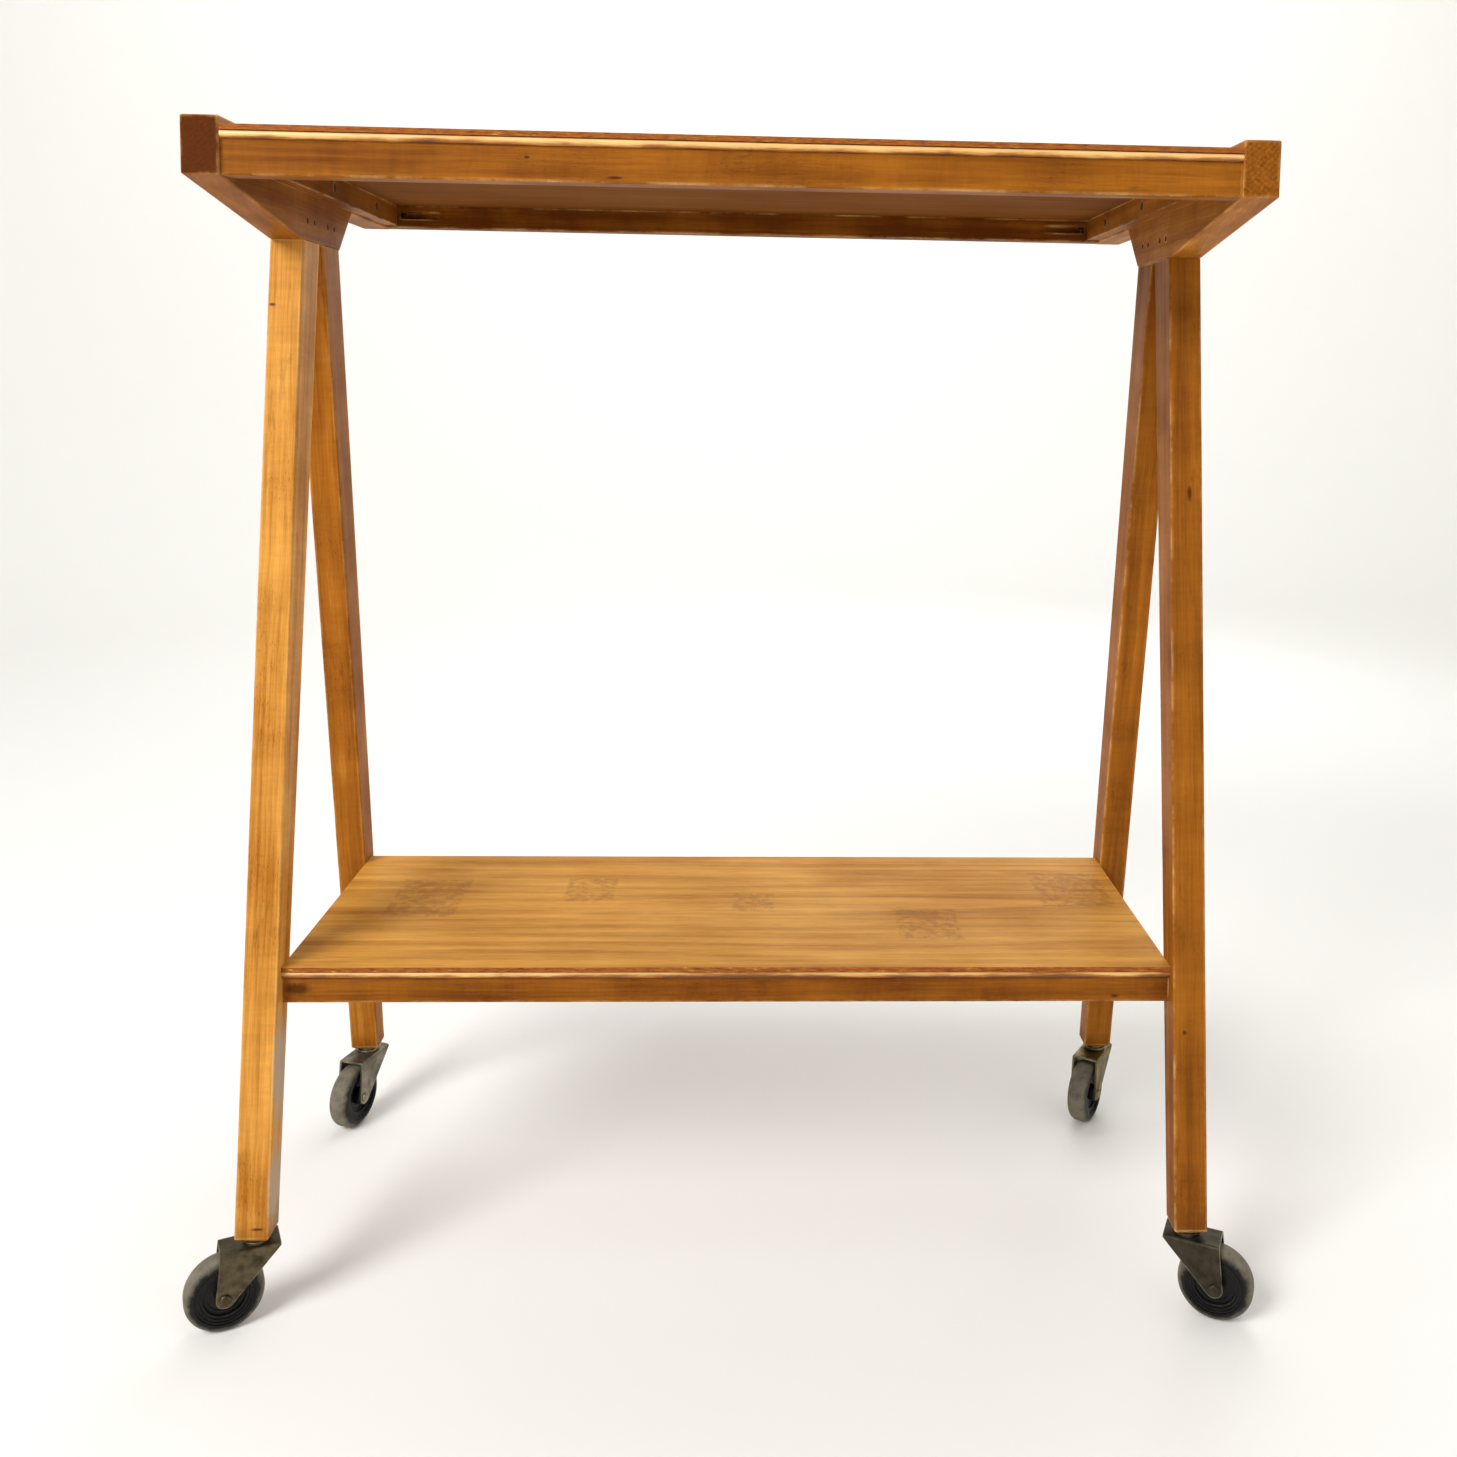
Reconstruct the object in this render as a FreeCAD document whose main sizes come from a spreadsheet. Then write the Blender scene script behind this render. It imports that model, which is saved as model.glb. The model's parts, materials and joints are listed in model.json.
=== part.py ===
import FreeCAD, Part
import os
import re
import Sketcher

# A two-level wooden book cart on four swivelling casters, in millimetres.
# Frame: +Z up, +X to the right, -Y the front; the origin is on the floor, below the cart's middle.

DOC = FreeCAD.newDocument("book_cart")

# Driving sizes, one cell each. Angles are in degrees.
SIZES = {
    # the whole cart
    "overall_width": 780,        # over the outer faces of the end frames
    "overall_depth": 450,        # front end to rear end of the end beams
    "overall_height": 936,       # floor to the top of the end beams
    # end beams
    "beam_thick": 27,
    "beam_end_height": 41,       # at the front end
    "beam_rear_height": 32,      # behind the short rear slope
    "beam_mid_height": 69,       # over the legs
    "seat_margin": 3,            # the beam's flat stretch past the legs' heads
    "beam_rear_slope": 38,       # run of the short slope behind the legs
    "beam_lip": 6,               # the beam's top above the panel
    # panels, rails and mouldings
    "panel_thick": 4,
    "bead_radius": 3,
    "rail_thick": 19,
    "ledger_width": 12,
    "ledger_height": 20,
    "edge_round": 1.5,           # worn arris of the hardwood pieces
    # button slots in the rear top rail
    "slot_length": 42,
    "slot_height": 7,
    "slot_depth": 9,
    "slot_rise": 8.5,            # above the rail's lower edge
    "slot_inset": 16,            # from the rail's end
    # legs
    "head_outer": 49,            # the heads' outer faces from the middle
    "head_gap": 10,              # between the two heads
    "foot_outer": 170,
    "foot_inner": 146,
    "foot_chamfer": 3,           # all round the foot
    "tenon_thick": 10,
    "tenon_shoulder": 7,
    "tenon_height": 32,
    "mortise_slack": 1,
    "pin_radius": 2.5,
    "pin_length": 20,
    "pin_rise": 17,              # above the beam's flat
    "pin_pitch": 18,
    # shelf
    "shelf_top": 279,
    "shelf_rail_height": 27,
    "shelf_setback": 10,         # behind the legs' outer faces
    # dowels and screws
    "dowel_radius": 3,
    "dowel_length": 34,
    "dowel_in_rail": 20,
    "dowel_pitch": 10,
    "screw_radius": 2,
    "screw_head_radius": 4,
    "screw_head_height": 2.5,
    "screw_length": 22,
    "screw_pitch": 130,
    # fits
    "fit_gap": 0.05,             # radial gap of round pieces in their holes
    "sunk_gap": 0.3,             # radial gap around a sunk screw head
    # caster
    "wheel_radius": 30,
    "tyre_width": 20,
    "tyre_crown": 6,             # rounding of the tread's edges
    "hub_radius": 18.5,
    "hub_rim": 2.5,              # ring left around the hub's dish
    "hub_rim_half": 8,
    "hub_dish_half": 5,
    "boss_radius": 8,
    "tyre_step_radius": 23,      # inside it the sidewall is sunk
    "tyre_step_depth": 1,
    "boss_clear": 0.4,           # the boss's end to the fork's cheek
    "bush_radius": 5,
    "axle_radius": 3,
    "axle_head_radius": 4.6,
    "axle_head_height": 2.4,
    "fork_thick": 2,
    "fork_gap": 1.5,             # the tyre's side to the cheek
    "fork_bend": 2.4,            # outer radius of the folded edge
    "fork_back": 17,             # the plate's end behind the swivel axis
    "fork_front": 28,            # the plate's end over the wheel
    "cheek_round": 7,            # radius of the cheek's end round the axle
    "cheek_toe": 3.2,            # the slanting edge's foot, behind the axle
    "cheek_lean": 0.6,           # the steep edge's foot, past the rounded end
    "wheel_top_gap": 4,
    "trail": 25,                 # swivel axis to axle
    "stem_radius": 3.95,
    "stem_neck": 3.2,
    "stem_root": 4.5,            # radius where the stem passes the plate
    "stem_collar": 5.5,
    "collar_height": 2,
    "rivet_radius": 6.5,
    "rivet_height": 1.6,
    "stem_shift": 1,             # towards the cart's middle from the middle of the foot
    "race_inner": 6,
    "race_outer": 10.5,
    "race_height": 3,
    "socket_radius": 5,
    "socket_length": 34,
    "flange_radius": 8.5,
    "flange_thick": 1.5,
    "running_gap": 0.05,         # radial, stem in socket and axle in bush
}

# Which way each caster trails at rest, measured about +Z from +X.
CASTERS = {
    "front_left": {"side": -1, "end": -1, "angle": "front_left_trail"},
    "front_right": {"side": 1, "end": -1, "angle": "front_right_trail"},
    "rear_left": {"side": -1, "end": 1, "angle": "rear_left_trail"},
    "rear_right": {"side": 1, "end": 1, "angle": "rear_right_trail"},
}
SIZES.update({
    "front_left_trail": 205,
    "front_right_trail": 335,
    "rear_left_trail": 251,
    "rear_right_trail": 237,
})

# Sizes worked out from the driving ones, as expressions.
INNER_HALF = "(overall_width/2 - beam_thick)"
FRAME_X = "(overall_width/2 - beam_thick/2)"
HEAD_Z = "(overall_height - beam_mid_height)"
DECK_TOP = "(overall_height - beam_lip)"
DECK_UNDER = "(overall_height - beam_lip - panel_thick)"
FRONT_RAIL_LOW = "(overall_height - beam_end_height)"
REAR_RAIL_LOW = "(overall_height - beam_rear_height)"
RAIL_FACE = "(overall_depth/2 - bead_radius)"
RAIL_BACK = f"({RAIL_FACE} - rail_thick)"
LEDGER_LOW = f"({DECK_UNDER} - ledger_height)"
BEAM_FLAT = "(head_outer + seat_margin)"
TENON_OUTER = "(head_outer - tenon_shoulder)"
TENON_INNER = "(head_gap/2 + tenon_shoulder)"
PIN_Z = f"({HEAD_Z} + pin_rise)"
AXLE_Z = "wheel_radius"
FORK_TOP = "(2*wheel_radius + wheel_top_gap + fork_thick)"
FLANGE_LOW = f"({FORK_TOP} + race_height)"
FOOT_Z = f"({FLANGE_LOW} + flange_thick)"
STEM_Y = "((foot_outer + foot_inner)/2 - stem_shift)"
BORE_RADIUS = "(stem_radius + running_gap)"
FORK_INNER = "(tyre_width/2 + fork_gap)"
FORK_OUTER = "(tyre_width/2 + fork_gap + fork_thick)"
BOSS_HALF = f"({FORK_INNER} - boss_clear)"
SHELF_UNDER = "(shelf_top - panel_thick)"
SHELF_LOW = f"({SHELF_UNDER} - shelf_rail_height)"
SHELF_MID = f"({SHELF_UNDER} - shelf_rail_height/2)"
SHELF_DROP = f"(({HEAD_Z} - {SHELF_MID})/({HEAD_Z} - {FOOT_Z}))"
SHELF_HALF = f"(head_outer + (foot_outer - head_outer)*{SHELF_DROP} - shelf_setback)"
SHELF_FACE = f"({SHELF_HALF} - bead_radius)"
SHELF_BACK = f"({SHELF_FACE} - rail_thick)"
PART_LABELS = []


def make_sheet():
    """The spreadsheet that holds the driving sizes."""
    sheet = DOC.addObject("Spreadsheet::Sheet", "Sizes")
    for row, (name, size) in enumerate(SIZES.items(), start=1):
        sheet.set(f"A{row}", name)
        sheet.set(f"B{row}", str(size))
        sheet.setAlias(f"B{row}", name)
    DOC.recompute()
    return sheet


SHEET = make_sheet()


def sized(text):
    """The expression with each size's name pointing at its cell."""
    def point(word):
        name = word.group()
        return "Sizes." + name if name in SIZES else name
    return re.sub(r"[a-z]\w*", point, text)


def number(text):
    """The expression's present value."""
    return float(SHEET.evalExpression(sized(text)))


def new_body(label):
    """An empty body, listed as a sub-part."""
    body = DOC.addObject("PartDesign::Body", label)
    body.Label = label
    PART_LABELS.append(label)
    return body


def new_sketch(body, plane, offset="0"):
    """A sketch on one of the body's origin planes, moved along the plane's normal."""
    sketch = body.newObject("Sketcher::SketchObject", body.Label + "_sketch")
    support = [feature for feature in body.Origin.OriginFeatures if feature.Role == plane][0]
    sketch.AttachmentSupport = [(support, "")]
    sketch.MapMode = "FlatFace"
    sketch.setExpression("AttachmentOffset.Base.z", sized(offset))
    return sketch


def pin_point(sketch, line, end, corner):
    """Fix one end of a line, or a circle's centre, by its distances from the sketch's origin."""
    for kind, distance in zip(("DistanceX", "DistanceY"), corner):
        row = sketch.addConstraint(Sketcher.Constraint(kind, -1, 1, line, end, number(distance)))
        sketch.setExpression(f"Constraints[{row}]", sized(distance))


def draw_outline(sketch, corners):
    """A closed outline through the corners, each given as two expressions."""
    points = [FreeCAD.Vector(number(across), number(up), 0) for across, up in corners]
    count = len(points)
    for index in range(count):
        sketch.addGeometry(Part.LineSegment(points[index], points[(index + 1) % count]))
    for index in range(count):
        sketch.addConstraint(Sketcher.Constraint("Coincident", index, 2, (index + 1) % count, 1))
    for index, corner in enumerate(corners):
        pin_point(sketch, index, 1, corner)


def draw_circles(sketch, centres, radius):
    """Equal circles at the centres."""
    for index, centre in enumerate(centres):
        middle = FreeCAD.Vector(number(centre[0]), number(centre[1]), 0)
        sketch.addGeometry(Part.Circle(middle, FreeCAD.Vector(0, 0, 1), number(radius)))
        pin_point(sketch, index, 3, centre)
        row = sketch.addConstraint(Sketcher.Constraint("Radius", index, number(radius)))
        sketch.setExpression(f"Constraints[{row}]", sized(radius))


def add_feature(body, kind, sketch, length):
    """A pad or pocket of the sketch, centred on its plane."""
    before = body.Shape.Volume if body.Tip else 0
    feature = body.newObject(kind, body.Label + "_feature")
    feature.Profile = sketch
    feature.SideType = "Symmetric"
    feature.setExpression("Length", sized(length))
    DOC.recompute()
    if kind == "PartDesign::Pocket" and body.Shape.Volume >= before - 0.01:
        raise RuntimeError(f"{body.Label}: a pocket removes nothing")
    return feature


def pad_outline(body, plane, corners, length, offset="0"):
    sketch = new_sketch(body, plane, offset)
    draw_outline(sketch, corners)
    return add_feature(body, "PartDesign::Pad", sketch, length)


def cut_outline(body, plane, corners, length, offset="0"):
    sketch = new_sketch(body, plane, offset)
    draw_outline(sketch, corners)
    return add_feature(body, "PartDesign::Pocket", sketch, length)


def drill(body, plane, centres, radius, length, offset="0"):
    sketch = new_sketch(body, plane, offset)
    draw_circles(sketch, centres, radius)
    return add_feature(body, "PartDesign::Pocket", sketch, length)


def turn_outline(body, plane, axis, corners):
    """A turned piece: the outline revolved about one of the sketch's own axes."""
    sketch = new_sketch(body, plane)
    draw_outline(sketch, corners)
    feature = body.newObject("PartDesign::Revolution", body.Label + "_feature")
    feature.Profile = sketch
    feature.ReferenceAxis = (sketch, [axis])
    feature.Angle = 360
    DOC.recompute()
    return feature


def dress_edges(body, kind, size, wanted):
    """Fillet or chamfer the tip's edges that the test picks."""
    tip = body.Tip
    names = [f"Edge{row}" for row, edge in enumerate(tip.Shape.Edges, start=1) if wanted(edge)]
    if not names:
        raise RuntimeError(f"{body.Label}: no edge to dress")
    feature = body.newObject(kind, body.Label + "_edges")
    feature.Base = (tip, names)
    feature.setExpression("Radius" if kind == "PartDesign::Fillet" else "Size", sized(size))
    DOC.recompute()


def round_edges(body, radius, wanted):
    dress_edges(body, "PartDesign::Fillet", radius, wanted)


def turned(across, along, up, angle):
    """A placement at the origin, turned about the direction given."""
    turn = FreeCAD.Rotation(FreeCAD.Vector(across, along, up), angle)
    return FreeCAD.Placement(FreeCAD.Vector(0, 0, 0), turn)


def place(part, across="0", along="0", up="0", angle="0"):
    """Bind the sub-part's placement: a turn about +Z, then a move."""
    part.Placement = turned(0, 0, 1, number(angle))
    if angle != "0":
        part.setExpression("Placement.Rotation.Angle", sized(angle))
    for name, distance in (("x", across), ("y", along), ("z", up)):
        part.setExpression(f"Placement.Base.{name}", sized(distance))


def is_straight(edge):
    return edge.Curve.TypeId == "Part::GeomLine"


def direction(edge):
    """A straight edge's unit direction."""
    first, last = edge.Vertexes[0].Point, edge.Vertexes[-1].Point
    return (last - first).normalize()


def runs_along(edge, axis):
    """Whether the edge is straight and parallel to the axis named."""
    return is_straight(edge) and abs(getattr(direction(edge), axis)) > 0.999


def rectangle(low_across, low_up, high_across, high_up):
    """The four corners of a rectangle between two opposite ones."""
    return [(low_across, low_up), (high_across, low_up), (high_across, high_up), (low_across, high_up)]


# End frames ------------------------------------------------------------------------------------

def dowel_centres(rail_middle, low, high):
    """The two dowels' centres in a rail's end."""
    middle = f"(({low} + {high})/2)"
    return [(rail_middle, f"{middle} - dowel_pitch/2"), (rail_middle, f"{middle} + dowel_pitch/2")]


TOP_RAIL_MIDDLE = f"(({RAIL_FACE} + {RAIL_BACK})/2)"
TOP_DOWELS = (dowel_centres(f"-{TOP_RAIL_MIDDLE}", FRONT_RAIL_LOW, DECK_UNDER)
              + dowel_centres(TOP_RAIL_MIDDLE, REAR_RAIL_LOW, DECK_UNDER))
DOWEL_HOLE = "(dowel_radius + fit_gap)"
DOWEL_SOCKET = "2*(dowel_length - dowel_in_rail)"
SHELF_RAIL_MIDDLE = f"(({SHELF_FACE} + {SHELF_BACK})/2)"
SCREW_Z = f"({LEDGER_LOW} + ledger_height/2)"
SCREW_CENTRES = [(f"({row}*screw_pitch)", SCREW_Z) for row in (-1, 0, 1)]
PIN_CENTRES = [(f"({end}*({TENON_OUTER} + {TENON_INNER})/2 + {step}*pin_pitch/2)", PIN_Z)
               for end in (-1, 1) for step in (-1, 1)]


def make_end_beam(label, side):
    """A gull-shaped beam, deep over the legs, with mortises, pin holes and dowel holes."""
    body = new_body(label)
    outline = [
        ("-overall_depth/2", FRONT_RAIL_LOW),
        (f"-{BEAM_FLAT}", HEAD_Z),
        (BEAM_FLAT, HEAD_Z),
        (f"{BEAM_FLAT} + beam_rear_slope", REAR_RAIL_LOW),
        ("overall_depth/2", REAR_RAIL_LOW),
        ("overall_depth/2", "overall_height"),
        ("-overall_depth/2", "overall_height"),
    ]
    pad_outline(body, "YZ_Plane", outline, "beam_thick")
    round_edges(body, "edge_round", lambda edge: True)
    for end in (-1, 1):
        mortise = rectangle(f"{end}*{TENON_INNER}", f"{HEAD_Z} - tenon_height",
                            f"{end}*{TENON_OUTER}", f"{HEAD_Z} + tenon_height + mortise_slack")
        cut_outline(body, "YZ_Plane", mortise, "tenon_thick")
    inner_face = f"{-side}*beam_thick/2"
    drill(body, "YZ_Plane", PIN_CENTRES, "pin_radius + fit_gap", "2*pin_length", inner_face)
    drill(body, "YZ_Plane", TOP_DOWELS, DOWEL_HOLE, DOWEL_SOCKET, inner_face)
    drill(body, "YZ_Plane", SCREW_CENTRES, "screw_radius + fit_gap",
          "2*(screw_length + screw_head_height - ledger_width)", inner_face)
    place(body, f"{side}*{FRAME_X}")


def make_leg(label, side, end):
    """A splayed leg that tapers to the foot, with a tenon above and a socket hole below."""
    body = new_body(label)
    outline = [
        (f"{end}*head_outer", HEAD_Z),
        (f"{end}*head_gap/2", HEAD_Z),
        (f"{end}*foot_inner", FOOT_Z),
        (f"{end}*foot_outer", FOOT_Z),
    ]
    pad_outline(body, "YZ_Plane", outline, "beam_thick")
    foot = number(FOOT_Z)
    dress_edges(body, "PartDesign::Chamfer", "foot_chamfer", lambda edge: edge.BoundBox.ZMax < foot + 0.1)
    half_run = 0.5 * (number(HEAD_Z) - number(FOOT_Z))
    round_edges(body, "edge_round", lambda edge: edge.Length > half_run)
    tenon = rectangle(f"{end}*{TENON_INNER}", f"{HEAD_Z} - tenon_height",
                      f"{end}*{TENON_OUTER}", f"{HEAD_Z} + tenon_height")
    pad_outline(body, "YZ_Plane", tenon, "tenon_thick")
    own_pins = PIN_CENTRES[:2] if end < 0 else PIN_CENTRES[2:]
    drill(body, "YZ_Plane", own_pins, "pin_radius + fit_gap", "2*tenon_thick")
    drill(body, "XY_Plane", [("0", f"{end}*{STEM_Y}")], "socket_radius + fit_gap", "2*socket_length", FOOT_Z)
    dowels = dowel_centres(f"{end}*{SHELF_RAIL_MIDDLE}", SHELF_LOW, SHELF_UNDER)
    drill(body, "YZ_Plane", dowels, DOWEL_HOLE, DOWEL_SOCKET, f"{-side}*beam_thick/2")
    place(body, f"{side}*{FRAME_X}")


def make_rods(label, groups, radius, length):
    """One node of equal loose rods along X; each group is a plane's offset and its centres."""
    rods = []
    for offset, centres in groups:
        for across, up in centres:
            rod = DOC.addObject("Part::Cylinder", label + "_rod")
            rod.setExpression("Radius", sized(radius))
            rod.setExpression("Height", sized(length))
            rod.Placement = turned(0, 1, 0, 90)
            rod.setExpression("Placement.Base.x", sized(offset))
            rod.setExpression("Placement.Base.y", sized(across))
            rod.setExpression("Placement.Base.z", sized(up))
            rods.append(rod)
    group = DOC.addObject("Part::Compound", label)
    group.Label = label
    group.Links = rods
    PART_LABELS.append(label)


# Deck ------------------------------------------------------------------------------------------

def make_rail(label, end, face, low, high):
    """A rail along X with two dowel holes in each end; face is its outer face's distance in Y."""
    body = new_body(label)
    section = rectangle(f"{end}*({face} - rail_thick)", low, f"{end}*{face}", high)
    pad_outline(body, "YZ_Plane", section, f"2*{INNER_HALF}")
    bottom = number(low)
    round_edges(body, "edge_round", lambda edge: runs_along(edge, "x") and edge.CenterOfMass.z < bottom + 0.1)
    centres = dowel_centres(f"{end}*({face} - rail_thick/2)", low, high)
    for side in (-1, 1):
        drill(body, "YZ_Plane", centres, DOWEL_HOLE, "2*dowel_in_rail", f"{side}*{INNER_HALF}")
    return body


def cut_button_slots(body):
    """Two slots in the rear rail's inner face, deep at the outer end and running out inwards."""
    for side in (-1, 1):
        outer = f"{side}*({INNER_HALF} - slot_inset)"
        wedge = [
            (outer, RAIL_BACK),
            (outer, f"{RAIL_BACK} + slot_depth"),
            (f"{outer} - {side}*slot_length", RAIL_BACK),
        ]
        cut_outline(body, "XY_Plane", wedge, "slot_height", f"{REAR_RAIL_LOW} + slot_rise + slot_height/2")


def make_bead(label, end, face, top):
    """A half-round moulding along X, its flat on the rail's face."""
    bead = DOC.addObject("Part::Cylinder", label)
    bead.Label = label
    bead.setExpression("Radius", sized("bead_radius"))
    bead.setExpression("Height", sized(f"2*{INNER_HALF}"))
    bead.Angle = 180
    bead.Placement = turned(0, 1, 0, 90).multiply(turned(0, 0, 1, 0 if end > 0 else 180))
    bead.setExpression("Placement.Base.x", sized(f"-{INNER_HALF}"))
    bead.setExpression("Placement.Base.y", sized(f"{end}*{face}"))
    bead.setExpression("Placement.Base.z", sized(f"{top} - bead_radius"))
    PART_LABELS.append(label)


def make_board(label, half_length, half_depth, top):
    """A thin plywood panel."""
    body = new_body(label)
    outline = rectangle(f"-{half_length}", f"-{half_depth}", half_length, half_depth)
    pad_outline(body, "XY_Plane", outline, "panel_thick", f"{top} - panel_thick/2")


def make_strip(label, side, width, back, low, high):
    """A strip along Y between two rails, against the inner face of the end frame."""
    body = new_body(label)
    section = rectangle(f"{side}*({INNER_HALF} - {width})", low, f"{side}*{INNER_HALF}", high)
    pad_outline(body, "XZ_Plane", section, f"2*{back}")
    return body


def make_ledger(label, side):
    body = make_strip(label, side, "ledger_width", RAIL_BACK, LEDGER_LOW, DECK_UNDER)
    middle = f"{side}*({INNER_HALF} - ledger_width/2)"
    drill(body, "YZ_Plane", SCREW_CENTRES, "screw_radius + fit_gap", "2*ledger_width", middle)
    inner_face = f"{side}*({INNER_HALF} - ledger_width)"
    drill(body, "YZ_Plane", SCREW_CENTRES, "screw_head_radius + sunk_gap", "2*screw_head_height", inner_face)


def make_ledger_screws(label):
    """Sunk screws through both ledgers into the beams, as one group."""
    pieces = []
    for side in (-1, 1):
        seat = f"{side}*({INNER_HALF} - ledger_width)"
        for across, up in SCREW_CENTRES:
            head = DOC.addObject("Part::Cylinder", label + "_head")
            shank = DOC.addObject("Part::Cylinder", label + "_shank")
            for rod, radius, length, start in (
                    (head, "screw_head_radius", "screw_head_height", "0"),
                    (shank, "screw_radius", "screw_length", "screw_head_height")):
                rod.setExpression("Radius", sized(radius))
                rod.setExpression("Height", sized(length))
                rod.Placement = turned(0, 1, 0, 90 * side)
                rod.setExpression("Placement.Base.x", sized(f"{seat} + {side}*{start}"))
                rod.setExpression("Placement.Base.y", sized(across))
                rod.setExpression("Placement.Base.z", sized(up))
            screw = DOC.addObject("Part::Fuse", label + "_screw")
            screw.Base = head
            screw.Tool = shank
            pieces.append(screw)
    group = DOC.addObject("Part::Compound", label)
    group.Label = label
    group.Links = pieces
    PART_LABELS.append(label)


# Casters ---------------------------------------------------------------------------------------

def place_caster_piece(body, caster, at_axle=False):
    """Turn a caster's piece to its trail and move it below its leg."""
    reach = "trail" if at_axle else "0"
    place(body,
          f"{caster['side']}*{FRAME_X} + {reach}*cos({caster['angle']}*1deg)",
          f"{caster['end']}*{STEM_Y} + {reach}*sin({caster['angle']}*1deg)",
          AXLE_Z if at_axle else "0",
          caster["angle"])


def make_socket(name, caster):
    """A flanged steel sleeve pressed into the foot."""
    body = new_body(name + "_socket")
    top = f"({FOOT_Z} + socket_length - mortise_slack)"
    turn_outline(body, "XZ_Plane", "V_Axis", [
        (BORE_RADIUS, FLANGE_LOW), ("flange_radius", FLANGE_LOW), ("flange_radius", FOOT_Z),
        ("socket_radius", FOOT_Z), ("socket_radius", top), (BORE_RADIUS, top)])
    place_caster_piece(body, caster)


def make_stem(name, caster):
    """The swivel pin: riveted under the plate, with a collar, a neck and a pointed top."""
    body = new_body(name + "_stem")
    plate_under = f"({FORK_TOP} - fork_thick)"
    collar_top = f"({FORK_TOP} + collar_height)"
    top = f"({FOOT_Z} + socket_length - 3)"
    turn_outline(body, "XZ_Plane", "V_Axis", [
        ("0", f"{plate_under} - rivet_height"),
        ("rivet_radius - rivet_height", f"{plate_under} - rivet_height"),
        ("rivet_radius", plate_under), ("stem_root", plate_under), ("stem_root", FORK_TOP),
        ("stem_collar", FORK_TOP), ("stem_collar", collar_top), ("stem_radius", collar_top),
        ("stem_radius", f"{top} - 10"), ("stem_neck", f"{top} - 9"), ("stem_neck", f"{top} - 5"),
        ("stem_radius", f"{top} - 4"), ("stem_radius - 1.5", top), ("0", top)])
    place_caster_piece(body, caster)


def make_race(name, caster):
    """The hardened ring that the flange bears on."""
    body = new_body(name + "_race")
    turn_outline(body, "XZ_Plane", "V_Axis", rectangle("race_inner", FORK_TOP, "race_outer", FLANGE_LOW))
    round_edges(body, "race_height/4", lambda edge: edge.Length > 6 * number("race_outer"))
    place_caster_piece(body, caster)


def make_fork(name, caster):
    """Folded steel: a plate and two cheeks that taper to the axle."""
    body = new_body(name + "_fork")
    end_low = f"({AXLE_Z} - cheek_round)"
    pad_outline(body, "XZ_Plane", [
        ("-fork_back", FORK_TOP), ("-fork_back", f"{FORK_TOP} - fork_thick"), ("trail - cheek_toe", end_low),
        ("trail + cheek_round + cheek_lean", end_low), ("fork_front", FORK_TOP)], f"2*{FORK_OUTER}")
    low, high = number(end_low), number(FORK_TOP)
    round_edges(body, "cheek_round*0.97",
                lambda edge: runs_along(edge, "y") and edge.CenterOfMass.z < low + 0.1)
    round_edges(body, "fork_bend", lambda edge: runs_along(edge, "x") and edge.CenterOfMass.z > high - 0.1)
    channel = rectangle(f"-{FORK_INNER}", f"{end_low} - 1", FORK_INNER, f"{FORK_TOP} - fork_thick")
    cut_outline(body, "YZ_Plane", channel, "4*(fork_front + fork_back)")
    drill(body, "XY_Plane", [("0", "0")], "stem_root + fit_gap", "4*fork_thick", FORK_TOP)
    drill(body, "XZ_Plane", [("trail", AXLE_Z)], "axle_radius + fit_gap", f"4*{FORK_OUTER}")
    place_caster_piece(body, caster)


def make_axle(name, caster):
    """A rivet through both cheeks, with a domed head on each side."""
    body = new_body(name + "_axle")
    head_top = f"({FORK_OUTER} + axle_head_height)"
    turn_outline(body, "XY_Plane", "V_Axis", [
        ("0", f"-{head_top}"), ("axle_head_radius", f"-{head_top}"), ("axle_head_radius", f"-{FORK_OUTER}"),
        ("axle_radius", f"-{FORK_OUTER}"), ("axle_radius", FORK_OUTER), ("axle_head_radius", FORK_OUTER),
        ("axle_head_radius", head_top), ("0", head_top)])
    dome = number(head_top)
    round_edges(body, "axle_head_height*0.9",
                lambda edge: not is_straight(edge) and abs(abs(edge.CenterOfMass.y) - dome) < 0.1)
    place_caster_piece(body, caster, at_axle=True)


def make_bush(name, caster):
    body = new_body(name + "_wheel_bush")
    turn_outline(body, "XY_Plane", "V_Axis",
                 rectangle("axle_radius + running_gap", f"-{BOSS_HALF}", "bush_radius", BOSS_HALF))
    place_caster_piece(body, caster, at_axle=True)


def make_hub(name, caster):
    """A moulded disc: a raised boss, a dished web and a raised rim."""
    body = new_body(name + "_wheel_hub")
    bore = "bush_radius + fit_gap"
    half = [
        (bore, BOSS_HALF), ("boss_radius", BOSS_HALF), ("boss_radius + 1.5", "hub_dish_half"),
        ("hub_radius - hub_rim - 1", "hub_dish_half"), ("hub_radius - hub_rim", "hub_rim_half"),
        ("hub_radius", "hub_rim_half")]
    other = [(across, f"-({up})") for across, up in reversed(half)]
    turn_outline(body, "XY_Plane", "V_Axis", half + other)
    place_caster_piece(body, caster, at_axle=True)


def make_tyre(name, caster):
    """The moulded tread ring, with a well rounded crown."""
    body = new_body(name + "_tyre")
    half = [("hub_radius + fit_gap", "tyre_width/2 - tyre_step_depth"),
            ("tyre_step_radius", "tyre_width/2 - tyre_step_depth"),
            ("tyre_step_radius", "tyre_width/2"), ("wheel_radius", "tyre_width/2")]
    other = [(across, f"-({up})") for across, up in reversed(half)]
    turn_outline(body, "XY_Plane", "V_Axis", half + other)
    rim = 6 * number("wheel_radius")
    round_edges(body, "tyre_crown", lambda edge: not is_straight(edge) and edge.Length > rim)
    place_caster_piece(body, caster, at_axle=True)


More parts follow.
